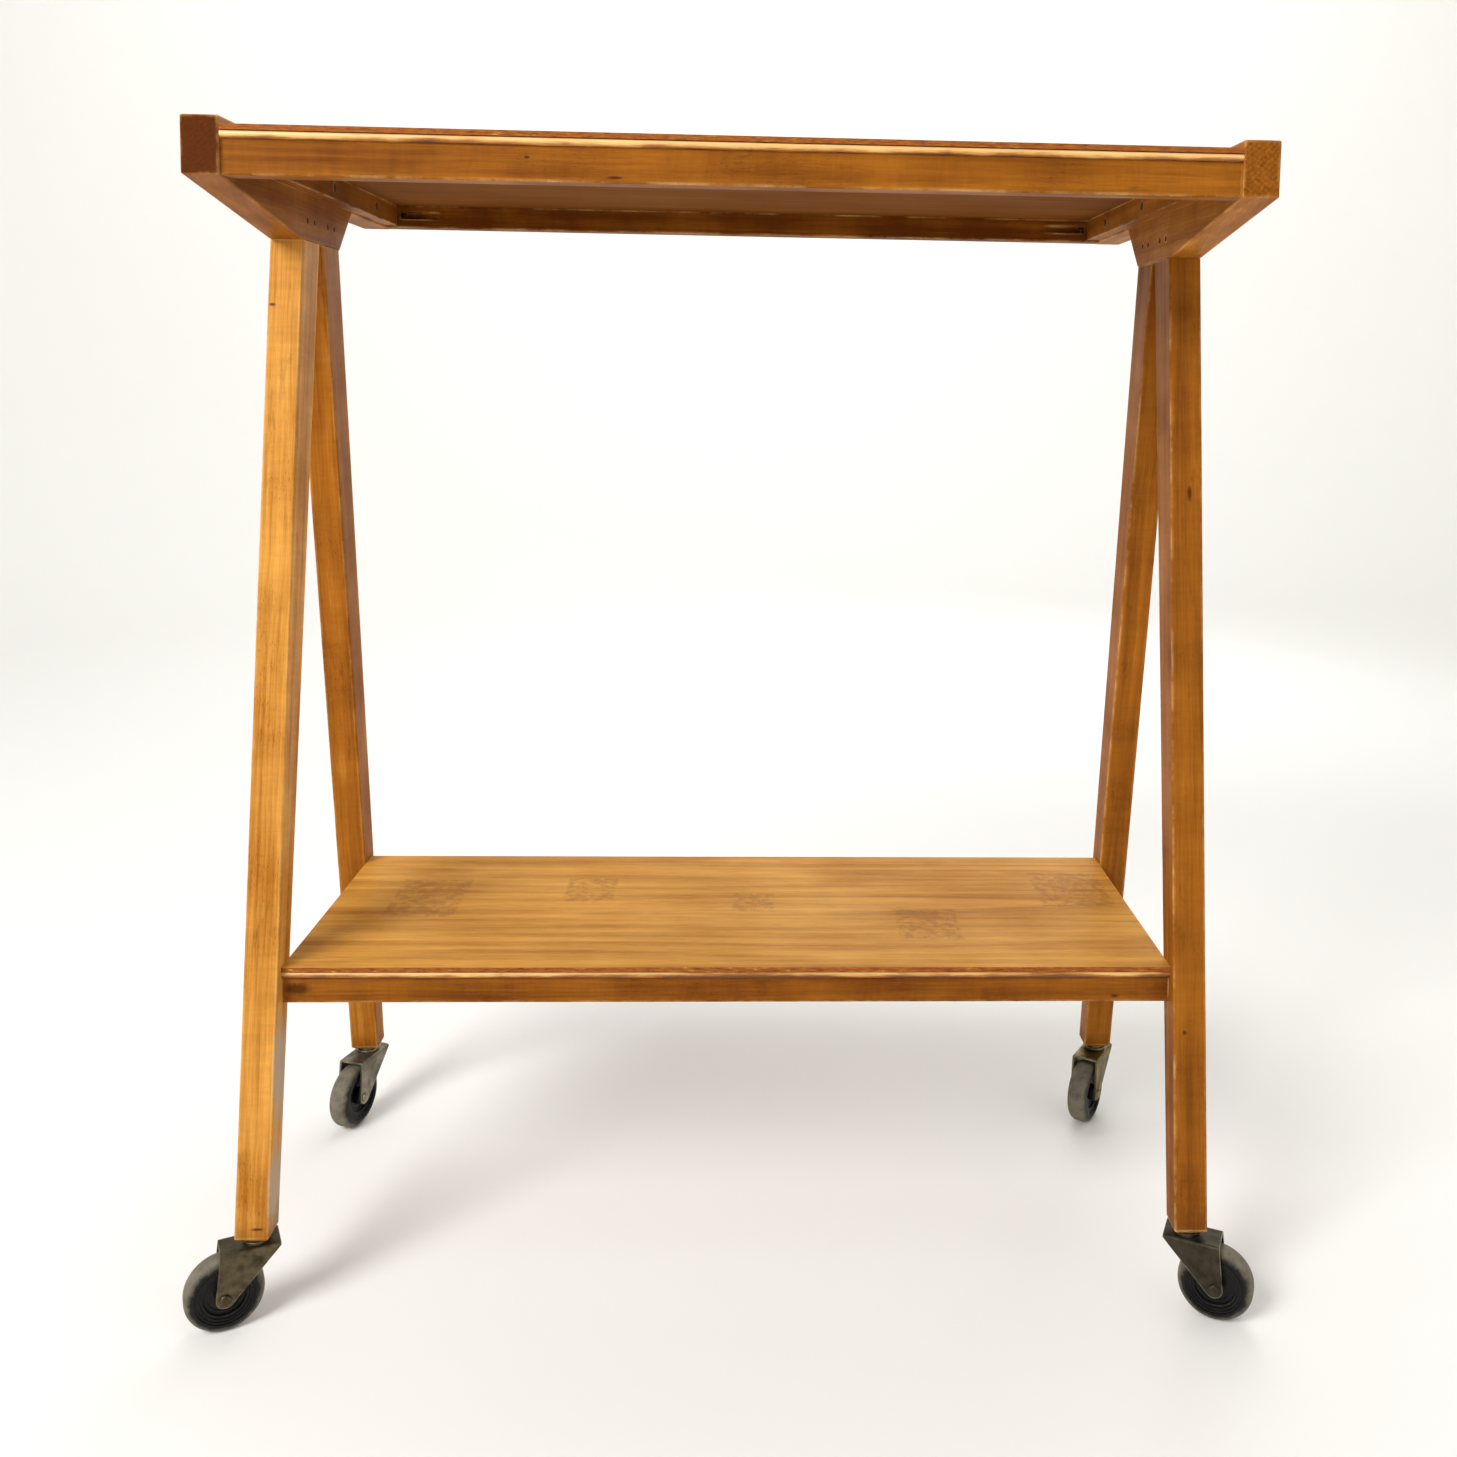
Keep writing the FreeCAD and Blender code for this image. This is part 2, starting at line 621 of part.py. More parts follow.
def make_cart():
    """Every sub-part, from the end frames down to the casters."""
    for name, side in (("left", -1), ("right", 1)):
        make_end_beam(f"{name}_end_beam", side)
        make_ledger(f"{name}_ledger", side)
        make_strip(f"{name}_shelf_end_rail", side, "rail_thick", SHELF_BACK, SHELF_LOW, SHELF_UNDER)
        pin_start = f"{side}*({INNER_HALF})" if side > 0 else f"-{INNER_HALF} - pin_length"
        make_rods(f"{name}_head_pins", [(pin_start, PIN_CENTRES)], "pin_radius", "pin_length")
        for place_name, end in (("front", -1), ("rear", 1)):
            make_leg(f"{place_name}_{name}_leg", side, end)
    make_rail("front_top_rail", -1, RAIL_FACE, FRONT_RAIL_LOW, DECK_UNDER)
    rear_rail = make_rail("rear_top_rail", 1, RAIL_FACE, REAR_RAIL_LOW, DECK_UNDER)
    cut_button_slots(rear_rail)
    for name, end in (("front", -1), ("rear", 1)):
        make_bead(f"{name}_top_bead", end, RAIL_FACE, DECK_UNDER)
        make_rail(f"{name}_shelf_rail", end, SHELF_FACE, SHELF_LOW, SHELF_UNDER)
        make_bead(f"{name}_shelf_bead", end, SHELF_FACE, SHELF_UNDER)
    make_board("top_panel", INNER_HALF, "(overall_depth/2)", DECK_TOP)
    make_board("shelf_panel", INNER_HALF, SHELF_HALF, "shelf_top")
    starts = (f"-({INNER_HALF} + dowel_length - dowel_in_rail)", f"{INNER_HALF} - dowel_in_rail")
    make_rods("top_rail_dowels", [(start, TOP_DOWELS) for start in starts], "dowel_radius", "dowel_length")
    shelf_dowels = (dowel_centres(f"-{SHELF_RAIL_MIDDLE}", SHELF_LOW, SHELF_UNDER)
                    + dowel_centres(SHELF_RAIL_MIDDLE, SHELF_LOW, SHELF_UNDER))
    make_rods("shelf_dowels", [(start, shelf_dowels) for start in starts], "dowel_radius", "dowel_length")
    make_ledger_screws("ledger_screws")
    pieces = (make_socket, make_stem, make_race, make_fork, make_axle, make_bush, make_hub, make_tyre)
    for name, caster in CASTERS.items():
        for make in pieces:
            make(name, caster)


def check_and_export():
    """Stop on any failed object or bad shape, then write one STEP file for each sub-part."""
    DOC.recompute()
    for item in DOC.Objects:
        if "Invalid" in item.State or "Error" in item.State:
            raise RuntimeError(f"{item.Name}: {item.State}")
    os.makedirs("parts", exist_ok=True)
    for label in PART_LABELS:
        part = DOC.getObjectsByLabel(label)[0]
        if part.Shape.isNull() or not part.Shape.isValid():
            raise RuntimeError(f"{label}: bad shape")
        part.Shape.exportStep(f"parts/{label}.step")
    print(len(PART_LABELS), "sub-parts")


make_cart()
check_and_export()
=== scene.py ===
import json
import math

import bpy
from mathutils import Matrix, Vector


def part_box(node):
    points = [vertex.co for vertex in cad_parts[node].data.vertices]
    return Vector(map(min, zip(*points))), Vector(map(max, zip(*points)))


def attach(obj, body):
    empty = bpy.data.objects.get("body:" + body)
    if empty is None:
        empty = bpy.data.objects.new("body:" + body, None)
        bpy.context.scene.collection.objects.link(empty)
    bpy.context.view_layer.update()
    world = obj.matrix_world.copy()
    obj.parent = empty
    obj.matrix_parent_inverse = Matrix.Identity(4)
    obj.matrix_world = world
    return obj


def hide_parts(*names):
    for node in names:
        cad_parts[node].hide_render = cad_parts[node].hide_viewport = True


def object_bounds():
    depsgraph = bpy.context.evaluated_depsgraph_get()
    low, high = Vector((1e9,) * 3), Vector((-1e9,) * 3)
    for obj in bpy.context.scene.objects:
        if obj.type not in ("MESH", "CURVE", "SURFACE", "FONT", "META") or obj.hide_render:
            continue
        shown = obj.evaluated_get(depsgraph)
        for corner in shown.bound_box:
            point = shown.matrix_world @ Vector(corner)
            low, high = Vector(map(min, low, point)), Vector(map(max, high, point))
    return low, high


# The looks of a two-level wooden book cart: its wood, mouldings, caster metal, rubber wheels and
# studio. Lengths are in metres, +Z is up and -Y is the cart's front.

bl_info = {
    "name": "Book cart looks",
    "version": (1, 0, 0),
    "blender": (4, 5, 0),
    "location": "3D View > Sidebar > Book cart",
    "description": "Finishes, rubber wheels and studio for a wooden book cart",
    "category": "Object",
}

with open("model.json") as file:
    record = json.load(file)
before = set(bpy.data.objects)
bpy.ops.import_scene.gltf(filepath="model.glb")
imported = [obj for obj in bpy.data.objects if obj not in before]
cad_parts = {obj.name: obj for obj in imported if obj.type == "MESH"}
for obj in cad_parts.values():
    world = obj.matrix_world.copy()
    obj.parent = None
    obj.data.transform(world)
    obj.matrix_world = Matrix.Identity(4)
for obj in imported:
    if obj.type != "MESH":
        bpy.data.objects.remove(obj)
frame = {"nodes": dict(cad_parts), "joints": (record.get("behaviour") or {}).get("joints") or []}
CAD_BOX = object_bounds()
NODES = frame["nodes"]
JOINTS = {joint["name"]: joint for joint in frame["joints"]}
CASTERS = ("front_left", "front_right", "rear_left", "rear_right")

ALONG_X = Vector((1, 0, 0))
ALONG_Y = Vector((0, 1, 0))
HEAD_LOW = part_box("left_end_beam")[0].z
HALF_HEAD = 0.022       # half a leg's depth at its head
HALF_FOOT = 0.012       # half a leg's depth at its foot


def leg_grain(leg):
    """The direction in which a leg leans, from its head to its foot."""
    low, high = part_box(leg)
    out = math.copysign(1, low.y + high.y)
    head = min(abs(low.y), abs(high.y)) + HALF_HEAD
    foot = max(abs(low.y), abs(high.y)) - HALF_FOOT
    return Vector((0, out * (foot - head), low.z - HEAD_LOW)).normalized()


# What each hardwood piece was cut from: its grain's direction, how far the tree's heart lay from the
# piece's middle, across its width and its depth, and how dark the board is drawn, from 0 to 1. That number
# is partly the board's own tone and partly painted light: the front and rear top rails, the front right leg
# and the left end beam are drawn darker as painted shade, and the front left leg paler as painted light.
BOARDS = {
    "left_end_beam": (ALONG_Y, (0.050, -0.075), 0.62),
    "right_end_beam": (ALONG_Y, (-0.062, -0.060), 0.50),
    "front_top_rail": (ALONG_X, (0.070, -0.030), 0.68),
    "rear_top_rail": (ALONG_X, (0.048, -0.060), 0.78),
    "front_shelf_rail": (ALONG_X, (0.036, 0.050), 0.70),
    "rear_shelf_rail": (ALONG_X, (-0.052, -0.047), 0.60),
    "left_shelf_end_rail": (ALONG_Y, (0.058, -0.041), 0.55),
    "right_shelf_end_rail": (ALONG_Y, (-0.044, -0.057), 0.60),
    "left_ledger": (ALONG_Y, (0.055, -0.037), 0.65),
    "right_ledger": (ALONG_Y, (-0.049, -0.052), 0.60),
    "front_left_leg": (leg_grain("front_left_leg"), (0.034, 0.066), 0.30),
    "front_right_leg": (leg_grain("front_right_leg"), (-0.071, 0.030), 0.64),
    "rear_left_leg": (leg_grain("rear_left_leg"), (0.060, -0.045), 0.53),
    "rear_right_leg": (leg_grain("rear_right_leg"), (-0.040, -0.068), 0.62),
}

# Dents and knots filled with dirt, and pale scuffs: the piece, the mark's middle, its half sizes
# and its colour.
MARKS = (
    ("front_top_rail", (-0.088, -0.222, 0.8990), (0.0070, 0.006, 0.0014), "fleck"),
    ("front_top_rail", (-0.150, -0.222, 0.9120), (0.0022, 0.006, 0.0012), "fleck"),
    ("front_shelf_rail", (-0.352, -0.128, 0.2600), (0.0130, 0.006, 0.0060), "fleck"),
    ("front_shelf_rail", (0.318, -0.128, 0.2530), (0.0040, 0.006, 0.0020), "fleck"),
    ("front_left_leg", (-0.386, -0.060, 0.8130), (0.0034, 0.010, 0.0018), "fleck"),
    ("front_left_leg", (-0.372, -0.168, 0.0810), (0.0060, 0.010, 0.0014), "fleck"),
    ("front_left_leg", (-0.363, -0.148, 0.1050), (0.0030, 0.030, 0.0380), "scuff"),
    ("front_left_leg", (-0.363, -0.136, 0.1950), (0.0030, 0.022, 0.0460), "scuff"),
    ("front_right_leg", (0.379, -0.080, 0.6690), (0.0022, 0.010, 0.0070), "fleck"),
    ("front_right_leg", (0.372, -0.148, 0.2300), (0.0020, 0.010, 0.0022), "fleck"),
    ("left_end_beam", (-0.380, -0.225, 0.9030), (0.0040, 0.006, 0.0016), "fleck"),
)

# Ghosts that old labels left on the shelf, now blank: middle and half size, in the shelf's plane.
SHELF_GHOSTS = (
    ((-0.281, 0.020), (0.032, 0.046)),
    ((-0.135, 0.040), (0.023, 0.030)),
    ((0.017, 0.010), (0.019, 0.022)),
    ((0.172, -0.040), (0.028, 0.034)),
    ((0.318, 0.044), (0.034, 0.044)),
)

# How worn each caster's plating is: the colour left on it and how dull it has gone.
PLATING = {
    "front_left": ("5f5540", 0.46),
    "front_right": ("454033", 0.54),
    "rear_left": ("827b6a", 0.40),
    "rear_right": ("7d7049", 0.42),
}


def linear(hex_code):
    """The linear colour of an sRGB hex code."""
    parts = (int(hex_code[place:place + 2], 16) / 255 for place in (0, 2, 4))
    return tuple(c / 12.92 if c <= 0.04045 else ((c + 0.055) / 1.055) ** 2.4 for c in parts)


def tint(label, hex_code, use):
    """A colour that a user may change."""
    return bpy.props.FloatVectorProperty(
        name=label, description=use, default=linear(hex_code), size=3, subtype="COLOR", min=0, max=1)


def length(label, metres, use):
    """A length that a user may change."""
    return bpy.props.FloatProperty(
        name=label, description=use, default=metres, min=0, precision=4, unit="LENGTH")


def share(label, value, use):
    """A share from 0 to 1 that a user may change."""
    return bpy.props.FloatProperty(
        name=label, description=use, default=value, min=0, max=1, subtype="FACTOR")


def angle(label, degrees, use):
    """An angle that a user may change."""
    return bpy.props.FloatProperty(
        name=label, description=use, default=math.radians(degrees), unit="ROTATION")


def power(label, watts, use):
    """A lamp's power that a user may change."""
    return bpy.props.FloatProperty(name=label, description=use, default=watts, min=0, unit="POWER")


class CartWoodSettings(bpy.types.PropertyGroup):
    """Sizes and colours of the wood."""
    honey: tint("Honey", "dfa04a", "Varnished beech where it is palest")
    amber: tint("Amber", "a5641a", "Varnished beech at its usual colour")
    # Boards drawn darker as painted shade also reach this brown.
    brown: tint("Brown", "663408", "Late wood and boards that have darkened")
    end_grain: tint("End grain", "582a09", "Cut ends, which drink in the varnish")
    fleck: tint("Flecks", "43200a", "Short dark rays in the beech")
    scuff: tint("Scuffs", "b9a68e", "Chalky scuffs low on a leg")
    bare: tint("Bare wood", "e8bc78", "Arrises where the varnish is rubbed off")
    veneer_pale: tint("Pale veneer", "e2a648", "Panel faces at their palest")
    veneer_dark: tint("Dark veneer", "9c621c", "Streaks in the panel faces")
    ghost: tint("Label ghost", "7e4d1f", "Glue left by old labels")
    ply_edge: tint("Panel edge", "8f4e24", "Stained edge of the thin panels")
    moulding: tint("Moulding", "dba860", "Half-round moulding, rubbed pale")
    ring_gap: length("Ring spacing", 0.0032, "Growth of the tree in a year")
    fibre_width: length("Fibre width", 0.0009, "Fine lines along the grain; drawn coarser than real ones")
    varnish_gloss: share("Varnish roughness", 0.46, "Roughness of the old varnish")


class CartWheelSettings(bpy.types.PropertyGroup):
    """Sizes and colours of the rubber wheels."""
    tyre_width: length("Tyre width", 0.020, "Width of the tyre")
    core_width: length("Core width", 0.016, "Width of the core's rim")
    tread_round: length("Tread rounding", 0.0068, "Rounding of the tread's two edges")
    step_radius: length("Step radius", 0.0232, "Inside it the sidewall is sunk")
    ridge_radius: length("Ridge radius", 0.0218, "Outer radius of the moulded ridge")
    ridge_width: length("Ridge width", 0.0013, "Width of the moulded ridge")
    bore_radius: length("Bore radius", 0.0185, "Where the tyre meets its core")
    dish_radius: length("Dish radius", 0.0160, "Radius of the core's dish")
    dish_half: length("Dish depth", 0.0058, "The dish's ledge from the wheel's middle")
    ledge_width: length("Ledge width", 0.0030, "Width of the ledge round the dish")
    web_half: length("Web", 0.0050, "The web's face from the wheel's middle")
    boss_radius: length("Boss radius", 0.0080, "Radius of the core's boss")
    boss_half: length("Boss", 0.0111, "The boss's end from the wheel's middle")
    bush_radius: length("Bush radius", 0.0050, "Radius of the metal bush")
    rubber: tint("Rubber", "0d0b09", "Clean black rubber")
    dust: tint("Dust", "8a8270", "Floor dust on the tread")


class CartStageSettings(bpy.types.PropertyGroup):
    """The camera, lamps and floor."""
    eye: bpy.props.FloatVectorProperty(
        name="Camera place", description="Where the camera stands", size=3,
        default=(0.0170, -1.2233, 0.7596), subtype="TRANSLATION", unit="LENGTH")
    pan: angle("Pan", -2.38, "Turn of the camera to its left")
    tilt: angle("Tilt", -5.02, "Turn of the camera upwards")
    roll: angle("Roll", 0.97, "Turn of the camera about its own axis")
    lens: bpy.props.FloatProperty(
        name="Lens", description="Focal length", default=34.12, min=1, unit="CAMERA")
    shift_x: bpy.props.FloatProperty(
        name="Shift across", description="Sideways shift of the frame", default=-0.060)
    shift_y: bpy.props.FloatProperty(
        name="Shift up", description="Upward shift of the frame", default=-0.157)
    key_power: power("Key", 90, "Large soft lamp at the front left")
    fill_power: power("Fill", 5, "Large soft lamp at the front right")
    top_power: power("Top", 24, "Large soft lamp overhead")
    back_power: power("Back", 18, "Large soft lamp behind")
    wall_power: power("Wall", 60, "Large soft lamp on the wall behind the cart")
    sky: bpy.props.FloatProperty(
        name="Sky", description="Strength of the even light all round", default=0.32, min=0)
    floor: tint("Floor", "f2f1ee", "Pale matt floor")
    floor_radius: length("Floor radius", 3.2, "Where the floor starts to curve up")
    cove_radius: length("Cove radius", 1.4, "Radius of the curve from floor to wall")
    wall_rise: length("Wall", 3.0, "Height of the wall above the curve")


# Shader building

def find_socket(sockets, key):
    """A node's socket by its identifier, its name or its number."""
    for candidate in sockets:
        if candidate.identifier == key:
            return candidate
    return sockets[key]


def add(tree, kind, inputs=None, out=0, stops=None, **settings):
    """Add a shader node with its settings, its values or links and its ramp's stops; gives one output."""
    made = tree.nodes.new("ShaderNode" + kind)
    for name, value in settings.items():
        setattr(made, name, value)
    for key, value in (inputs or {}).items():
        target = find_socket(made.inputs, key)
        if isinstance(value, bpy.types.NodeSocket):
            tree.links.new(value, target)
        elif target.type == "RGBA":
            target.default_value = (*value[:3], 1)
        else:
            target.default_value = value
    if stops:
        elements = made.color_ramp.elements
        while len(elements) < len(stops):
            elements.new(1)
        for element, (place, colour) in zip(elements, stops):
            element.position = place
            element.color = (*colour[:3], 1)
    return find_socket(made.outputs, out) if len(made.outputs) else made


def new_material(name):
    """A material with no nodes yet, and its node tree."""
    material = bpy.data.materials.new(name)
    material.use_nodes = True
    material.node_tree.nodes.clear()
    return material, material.node_tree


def grey(value):
    """A grey of that value, for a ramp."""
    return (value, value, value)


def worn_arris(tree, reach, patches):
    """A mask of the arrises within reach, where the finish is rubbed through in patches."""
    rounded = add(tree, "Bevel", {"Radius": reach}, samples=4)
    straight = add(tree, "NewGeometry", out="Normal")
    facing = add(tree, "VectorMath", {0: rounded, 1: straight}, out="Value", operation="DOT_PRODUCT")
    edge = add(tree, "MapRange", {"Value": facing, "From Min": 0.99, "From Max": 0.90})
    return add(tree, "Math", {0: edge, 1: patches}, operation="MULTIPLY", use_clamp=True)


def beech(name, grain, heart, brownness_and_shade, marks, wood):
    """Solid beech under old amber varnish: warm streaks, faint year rings and short dark rays
    along the board, dark cut ends, and pale arrises where hands have rubbed the varnish off."""
    material, tree = new_material(name)
    place = add(tree, "TexCoord", out="Object")
    facing = add(tree, "TexCoord", out="Normal")
    turn = grain.to_track_quat("X", "Z").to_euler()
    board = add(tree, "Mapping", {"Vector": place, "Location": heart, "Rotation": turn},
                vector_type="TEXTURE")

    # The year rings lie round the tree's heart and wander by up to 7 mm along the board.
    slow = add(tree, "VectorMath", {0: board, 1: (4, 16, 16)}, operation="MULTIPLY")
    wander = add(tree, "TexNoise", {"Vector": slow, "Scale": 1, "Detail": 3}, out="Color")
    bent = add(tree, "VectorMath", {0: wander, 1: (0, 0.014, 0.014), 2: board}, operation="MULTIPLY_ADD")
    rings = add(tree, "TexWave", {"Vector": bent, "Scale": math.tau / (20 * wood.ring_gap)}, out="Fac",
                wave_type="RINGS", rings_direction="X", wave_profile="SAW")
    late = add(tree, "ValToRGB", {"Fac": rings}, stops=((0.1, grey(0)), (0.85, grey(1)), (1, grey(0.1))))

    # Streaks are about 11 mm wide and a third of a metre long, blotches 70 mm across.
    streak_place = add(tree, "VectorMath", {0: board, 1: (3, 90, 90)}, operation="MULTIPLY")
    streaks = add(tree, "TexNoise", {"Vector": streak_place, "Scale": 1, "Detail": 4, "Roughness": 0.6})
    blotch = add(tree, "TexNoise", {"Vector": board, "Scale": 14, "Detail": 3})
    fine = 1 / wood.fibre_width
    fibre_place = add(tree, "VectorMath", {0: board, 1: (fine / 28, fine, fine)}, operation="MULTIPLY")
    fibre = add(tree, "TexNoise", {"Vector": fibre_place, "Scale": 1, "Detail": 2, "Roughness": 0.7})

    # The varnish's depth: slow blotches and streaks, with the fibre on top, shifted by the board's number,
    # which holds painted shade and light besides the board's own tone.
    depth = add(tree, "Math", {0: streaks, 1: 0.55, 2: brownness_and_shade - 0.50}, operation="MULTIPLY_ADD")
    depth = add(tree, "Math", {0: blotch, 1: 0.50, 2: depth}, operation="MULTIPLY_ADD")
    depth = add(tree, "Math", {0: fibre, 1: 0.22, 2: depth}, operation="MULTIPLY_ADD")
    colour = add(tree, "ValToRGB", {"Fac": depth},
                 stops=((0.30, wood.honey), (0.62, wood.amber), (1.0, wood.brown)))
    late_share = add(tree, "MapRange", {
        "Value": streaks, "From Min": 0.35, "From Max": 0.65, "To Max": 0.30})
    late_share = add(tree, "Math", {0: late, 1: late_share}, operation="MULTIPLY")

    # Rays: dark dashes about 4 mm long and 1 mm wide, a few on each face.
    dash_place = add(tree, "VectorMath", {0: board, 1: (150, 780, 780)}, operation="MULTIPLY")
    dash = add(tree, "TexVoronoi", {"Vector": dash_place, "Scale": 1}, out="Distance")
    dash = add(tree, "MapRange", {"Value": dash, "From Min": 0.26, "From Max": 0.12})
    some = add(tree, "MapRange", {"Value": blotch, "From Min": 0.50, "From Max": 0.62})
    rays = add(tree, "Math", {0: dash, 1: some}, operation="MULTIPLY")
    ray_share = add(tree, "Math", {0: rays, 1: 0.55}, operation="MULTIPLY")

    # Dark stains and rubs under the varnish, about 60 mm long and 13 mm wide.
    stain_place = add(tree, "VectorMath", {0: board, 1: (16, 75, 75)}, operation="MULTIPLY")
    stain = add(tree, "TexNoise", {"Vector": stain_place, "Scale": 1, "Detail": 6, "Roughness": 0.7,
                                   "Distortion": 0.6})
    stain_share = add(tree, "MapRange", {
        "Value": stain, "From Min": 0.60, "From Max": 0.74, "To Max": 0.55})
    for part, tone in ((late_share, wood.brown), (ray_share, wood.fleck), (stain_share, wood.fleck)):
        colour = add(tree, "Mix", {"Factor_Float": part, "A_Color": colour, "B_Color": tone},
                     out="Result_Color", data_type="RGBA")

    # Faint marks of planing and rubbing across the board, about 9 mm wide.
    cross_place = add(tree, "VectorMath", {0: board, 1: (110, 17, 17)}, operation="MULTIPLY")
    cross = add(tree, "TexNoise", {"Vector": cross_place, "Scale": 1, "Detail": 4, "Roughness": 0.75,
                                   "Distortion": 1.2})
    cross_tone = add(tree, "ValToRGB", {"Fac": cross}, stops=((0.35, grey(0.78)), (0.65, grey(1.10))))
    colour = add(tree, "Mix", {"Factor_Float": 0.40, "A_Color": colour, "B_Color": cross_tone},
                 out="Result_Color", data_type="RGBA", blend_type="MULTIPLY")

    # Dirt in the dents, pale scuffs, and dirt rising from the foot of a leg.
    for middle, half, tone in marks:
        offset = add(tree, "VectorMath", {0: place, 1: middle}, operation="SUBTRACT")
        offset = add(tree, "VectorMath", {0: offset, 1: half}, operation="DIVIDE")
        reach = add(tree, "VectorMath", {0: offset}, out="Value", operation="LENGTH")
        reach = add(tree, "Math", {0: cross, 1: 0.8, 2: reach}, operation="MULTIPLY_ADD")
        dirt = add(tree, "MapRange", {
            "Value": reach, "From Min": 1.45, "From Max": 0.85, "To Max": 0.85})
        colour = add(tree, "Mix", {
            "Factor_Float": dirt, "A_Color": colour, "B_Color": getattr(wood, tone)},
            out="Result_Color", data_type="RGBA")
    up = add(tree, "SeparateXYZ", {"Vector": place}, out="Z")
    soil = add(tree, "Math", {0: stain, 1: 0.060, 2: up}, operation="MULTIPLY_ADD")
    soil = add(tree, "MapRange", {"Value": soil, "From Min": 0.122, "From Max": 0.098, "To Max": 0.60})
    colour = add(tree, "Mix", {"Factor_Float": soil, "A_Color": colour, "B_Color": wood.end_grain},
                 out="Result_Color", data_type="RGBA")

    # Cut ends: dark pores, slanting saw marks and a trace of the rings, deeper on boards drawn darker; on
    # the left end beam that depth is painted shade, as its cut end stood in shade and the right one's in
    # light.
    endways = add(tree, "VectorMath", {0: facing, 1: grain}, out="Value", operation="DOT_PRODUCT")
    endways = add(tree, "Math", {0: endways}, operation="ABSOLUTE")
    end_share = add(tree, "MapRange", {"Value": endways, "From Min": 0.75, "From Max": 0.97})
    sawn = add(tree, "TexWave", {"Vector": board, "Scale": 130, "Distortion": 2.5, "Detail": 2,
                                 "Detail Scale": 0.4}, out="Fac", bands_direction="DIAGONAL")
    pores = add(tree, "TexNoise", {"Vector": board, "Scale": 420, "Detail": 4, "Roughness": 0.8})
    end_darkness_and_shade = 3.4 * (brownness_and_shade - 0.5) - 0.25
    end_depth = add(tree, "Math", {0: late, 1: 0.07, 2: end_darkness_and_shade}, operation="MULTIPLY_ADD")
    end_depth = add(tree, "Math", {0: sawn, 1: 0.07, 2: end_depth}, operation="MULTIPLY_ADD")
    end_depth = add(tree, "Math", {0: pores, 1: 0.96, 2: end_depth}, operation="MULTIPLY_ADD")
    end_tone = add(tree, "ValToRGB", {"Fac": end_depth},
                   stops=((0.0, wood.amber), (0.55, wood.end_grain), (1.0, wood.fleck)))
    colour = add(tree, "Mix", {"Factor_Float": end_share, "A_Color": colour, "B_Color": end_tone},
                 out="Result_Color", data_type="RGBA")

    # Arrises rubbed bare 3 mm deep, in patches about 40 mm long.
    rub = add(tree, "TexNoise", {"Vector": place, "Scale": 24, "Detail": 5, "Roughness": 0.7})
    patches = add(tree, "MapRange", {"Value": rub, "From Min": 0.42, "From Max": 0.62})
    worn = worn_arris(tree, 0.0030, patches)
    worn_share = add(tree, "Math", {0: worn, 1: 0.85}, operation="MULTIPLY")
    colour = add(tree, "Mix", {"Factor_Float": worn_share, "A_Color": colour, "B_Color": wood.bare},
                 out="Result_Color", data_type="RGBA")

    rough = add(tree, "Math", {0: blotch, 1: 0.30, 2: wood.varnish_gloss - 0.12}, operation="MULTIPLY_ADD")
    rough = add(tree, "Math", {0: worn, 1: 0.25, 2: rough}, operation="MULTIPLY_ADD")
    rough = add(tree, "Math", {0: end_share, 1: 0.30, 2: rough}, operation="MULTIPLY_ADD", use_clamp=True)
    height = add(tree, "Math", {0: rays, 1: -0.6, 2: fibre}, operation="MULTIPLY_ADD")
    height = add(tree, "Math", {0: cross, 1: 0.5, 2: height}, operation="MULTIPLY_ADD")
    bump = add(tree, "Bump", {"Strength": 0.30, "Distance": 0.0004, "Height": height})
    shader = add(tree, "BsdfPrincipled", {
        "Base Color": colour, "Roughness": rough, "Normal": bump, "IOR": 1.5,
        "Specular IOR Level": 0.06})
    add(tree, "OutputMaterial", {"Surface": shader})
    return material


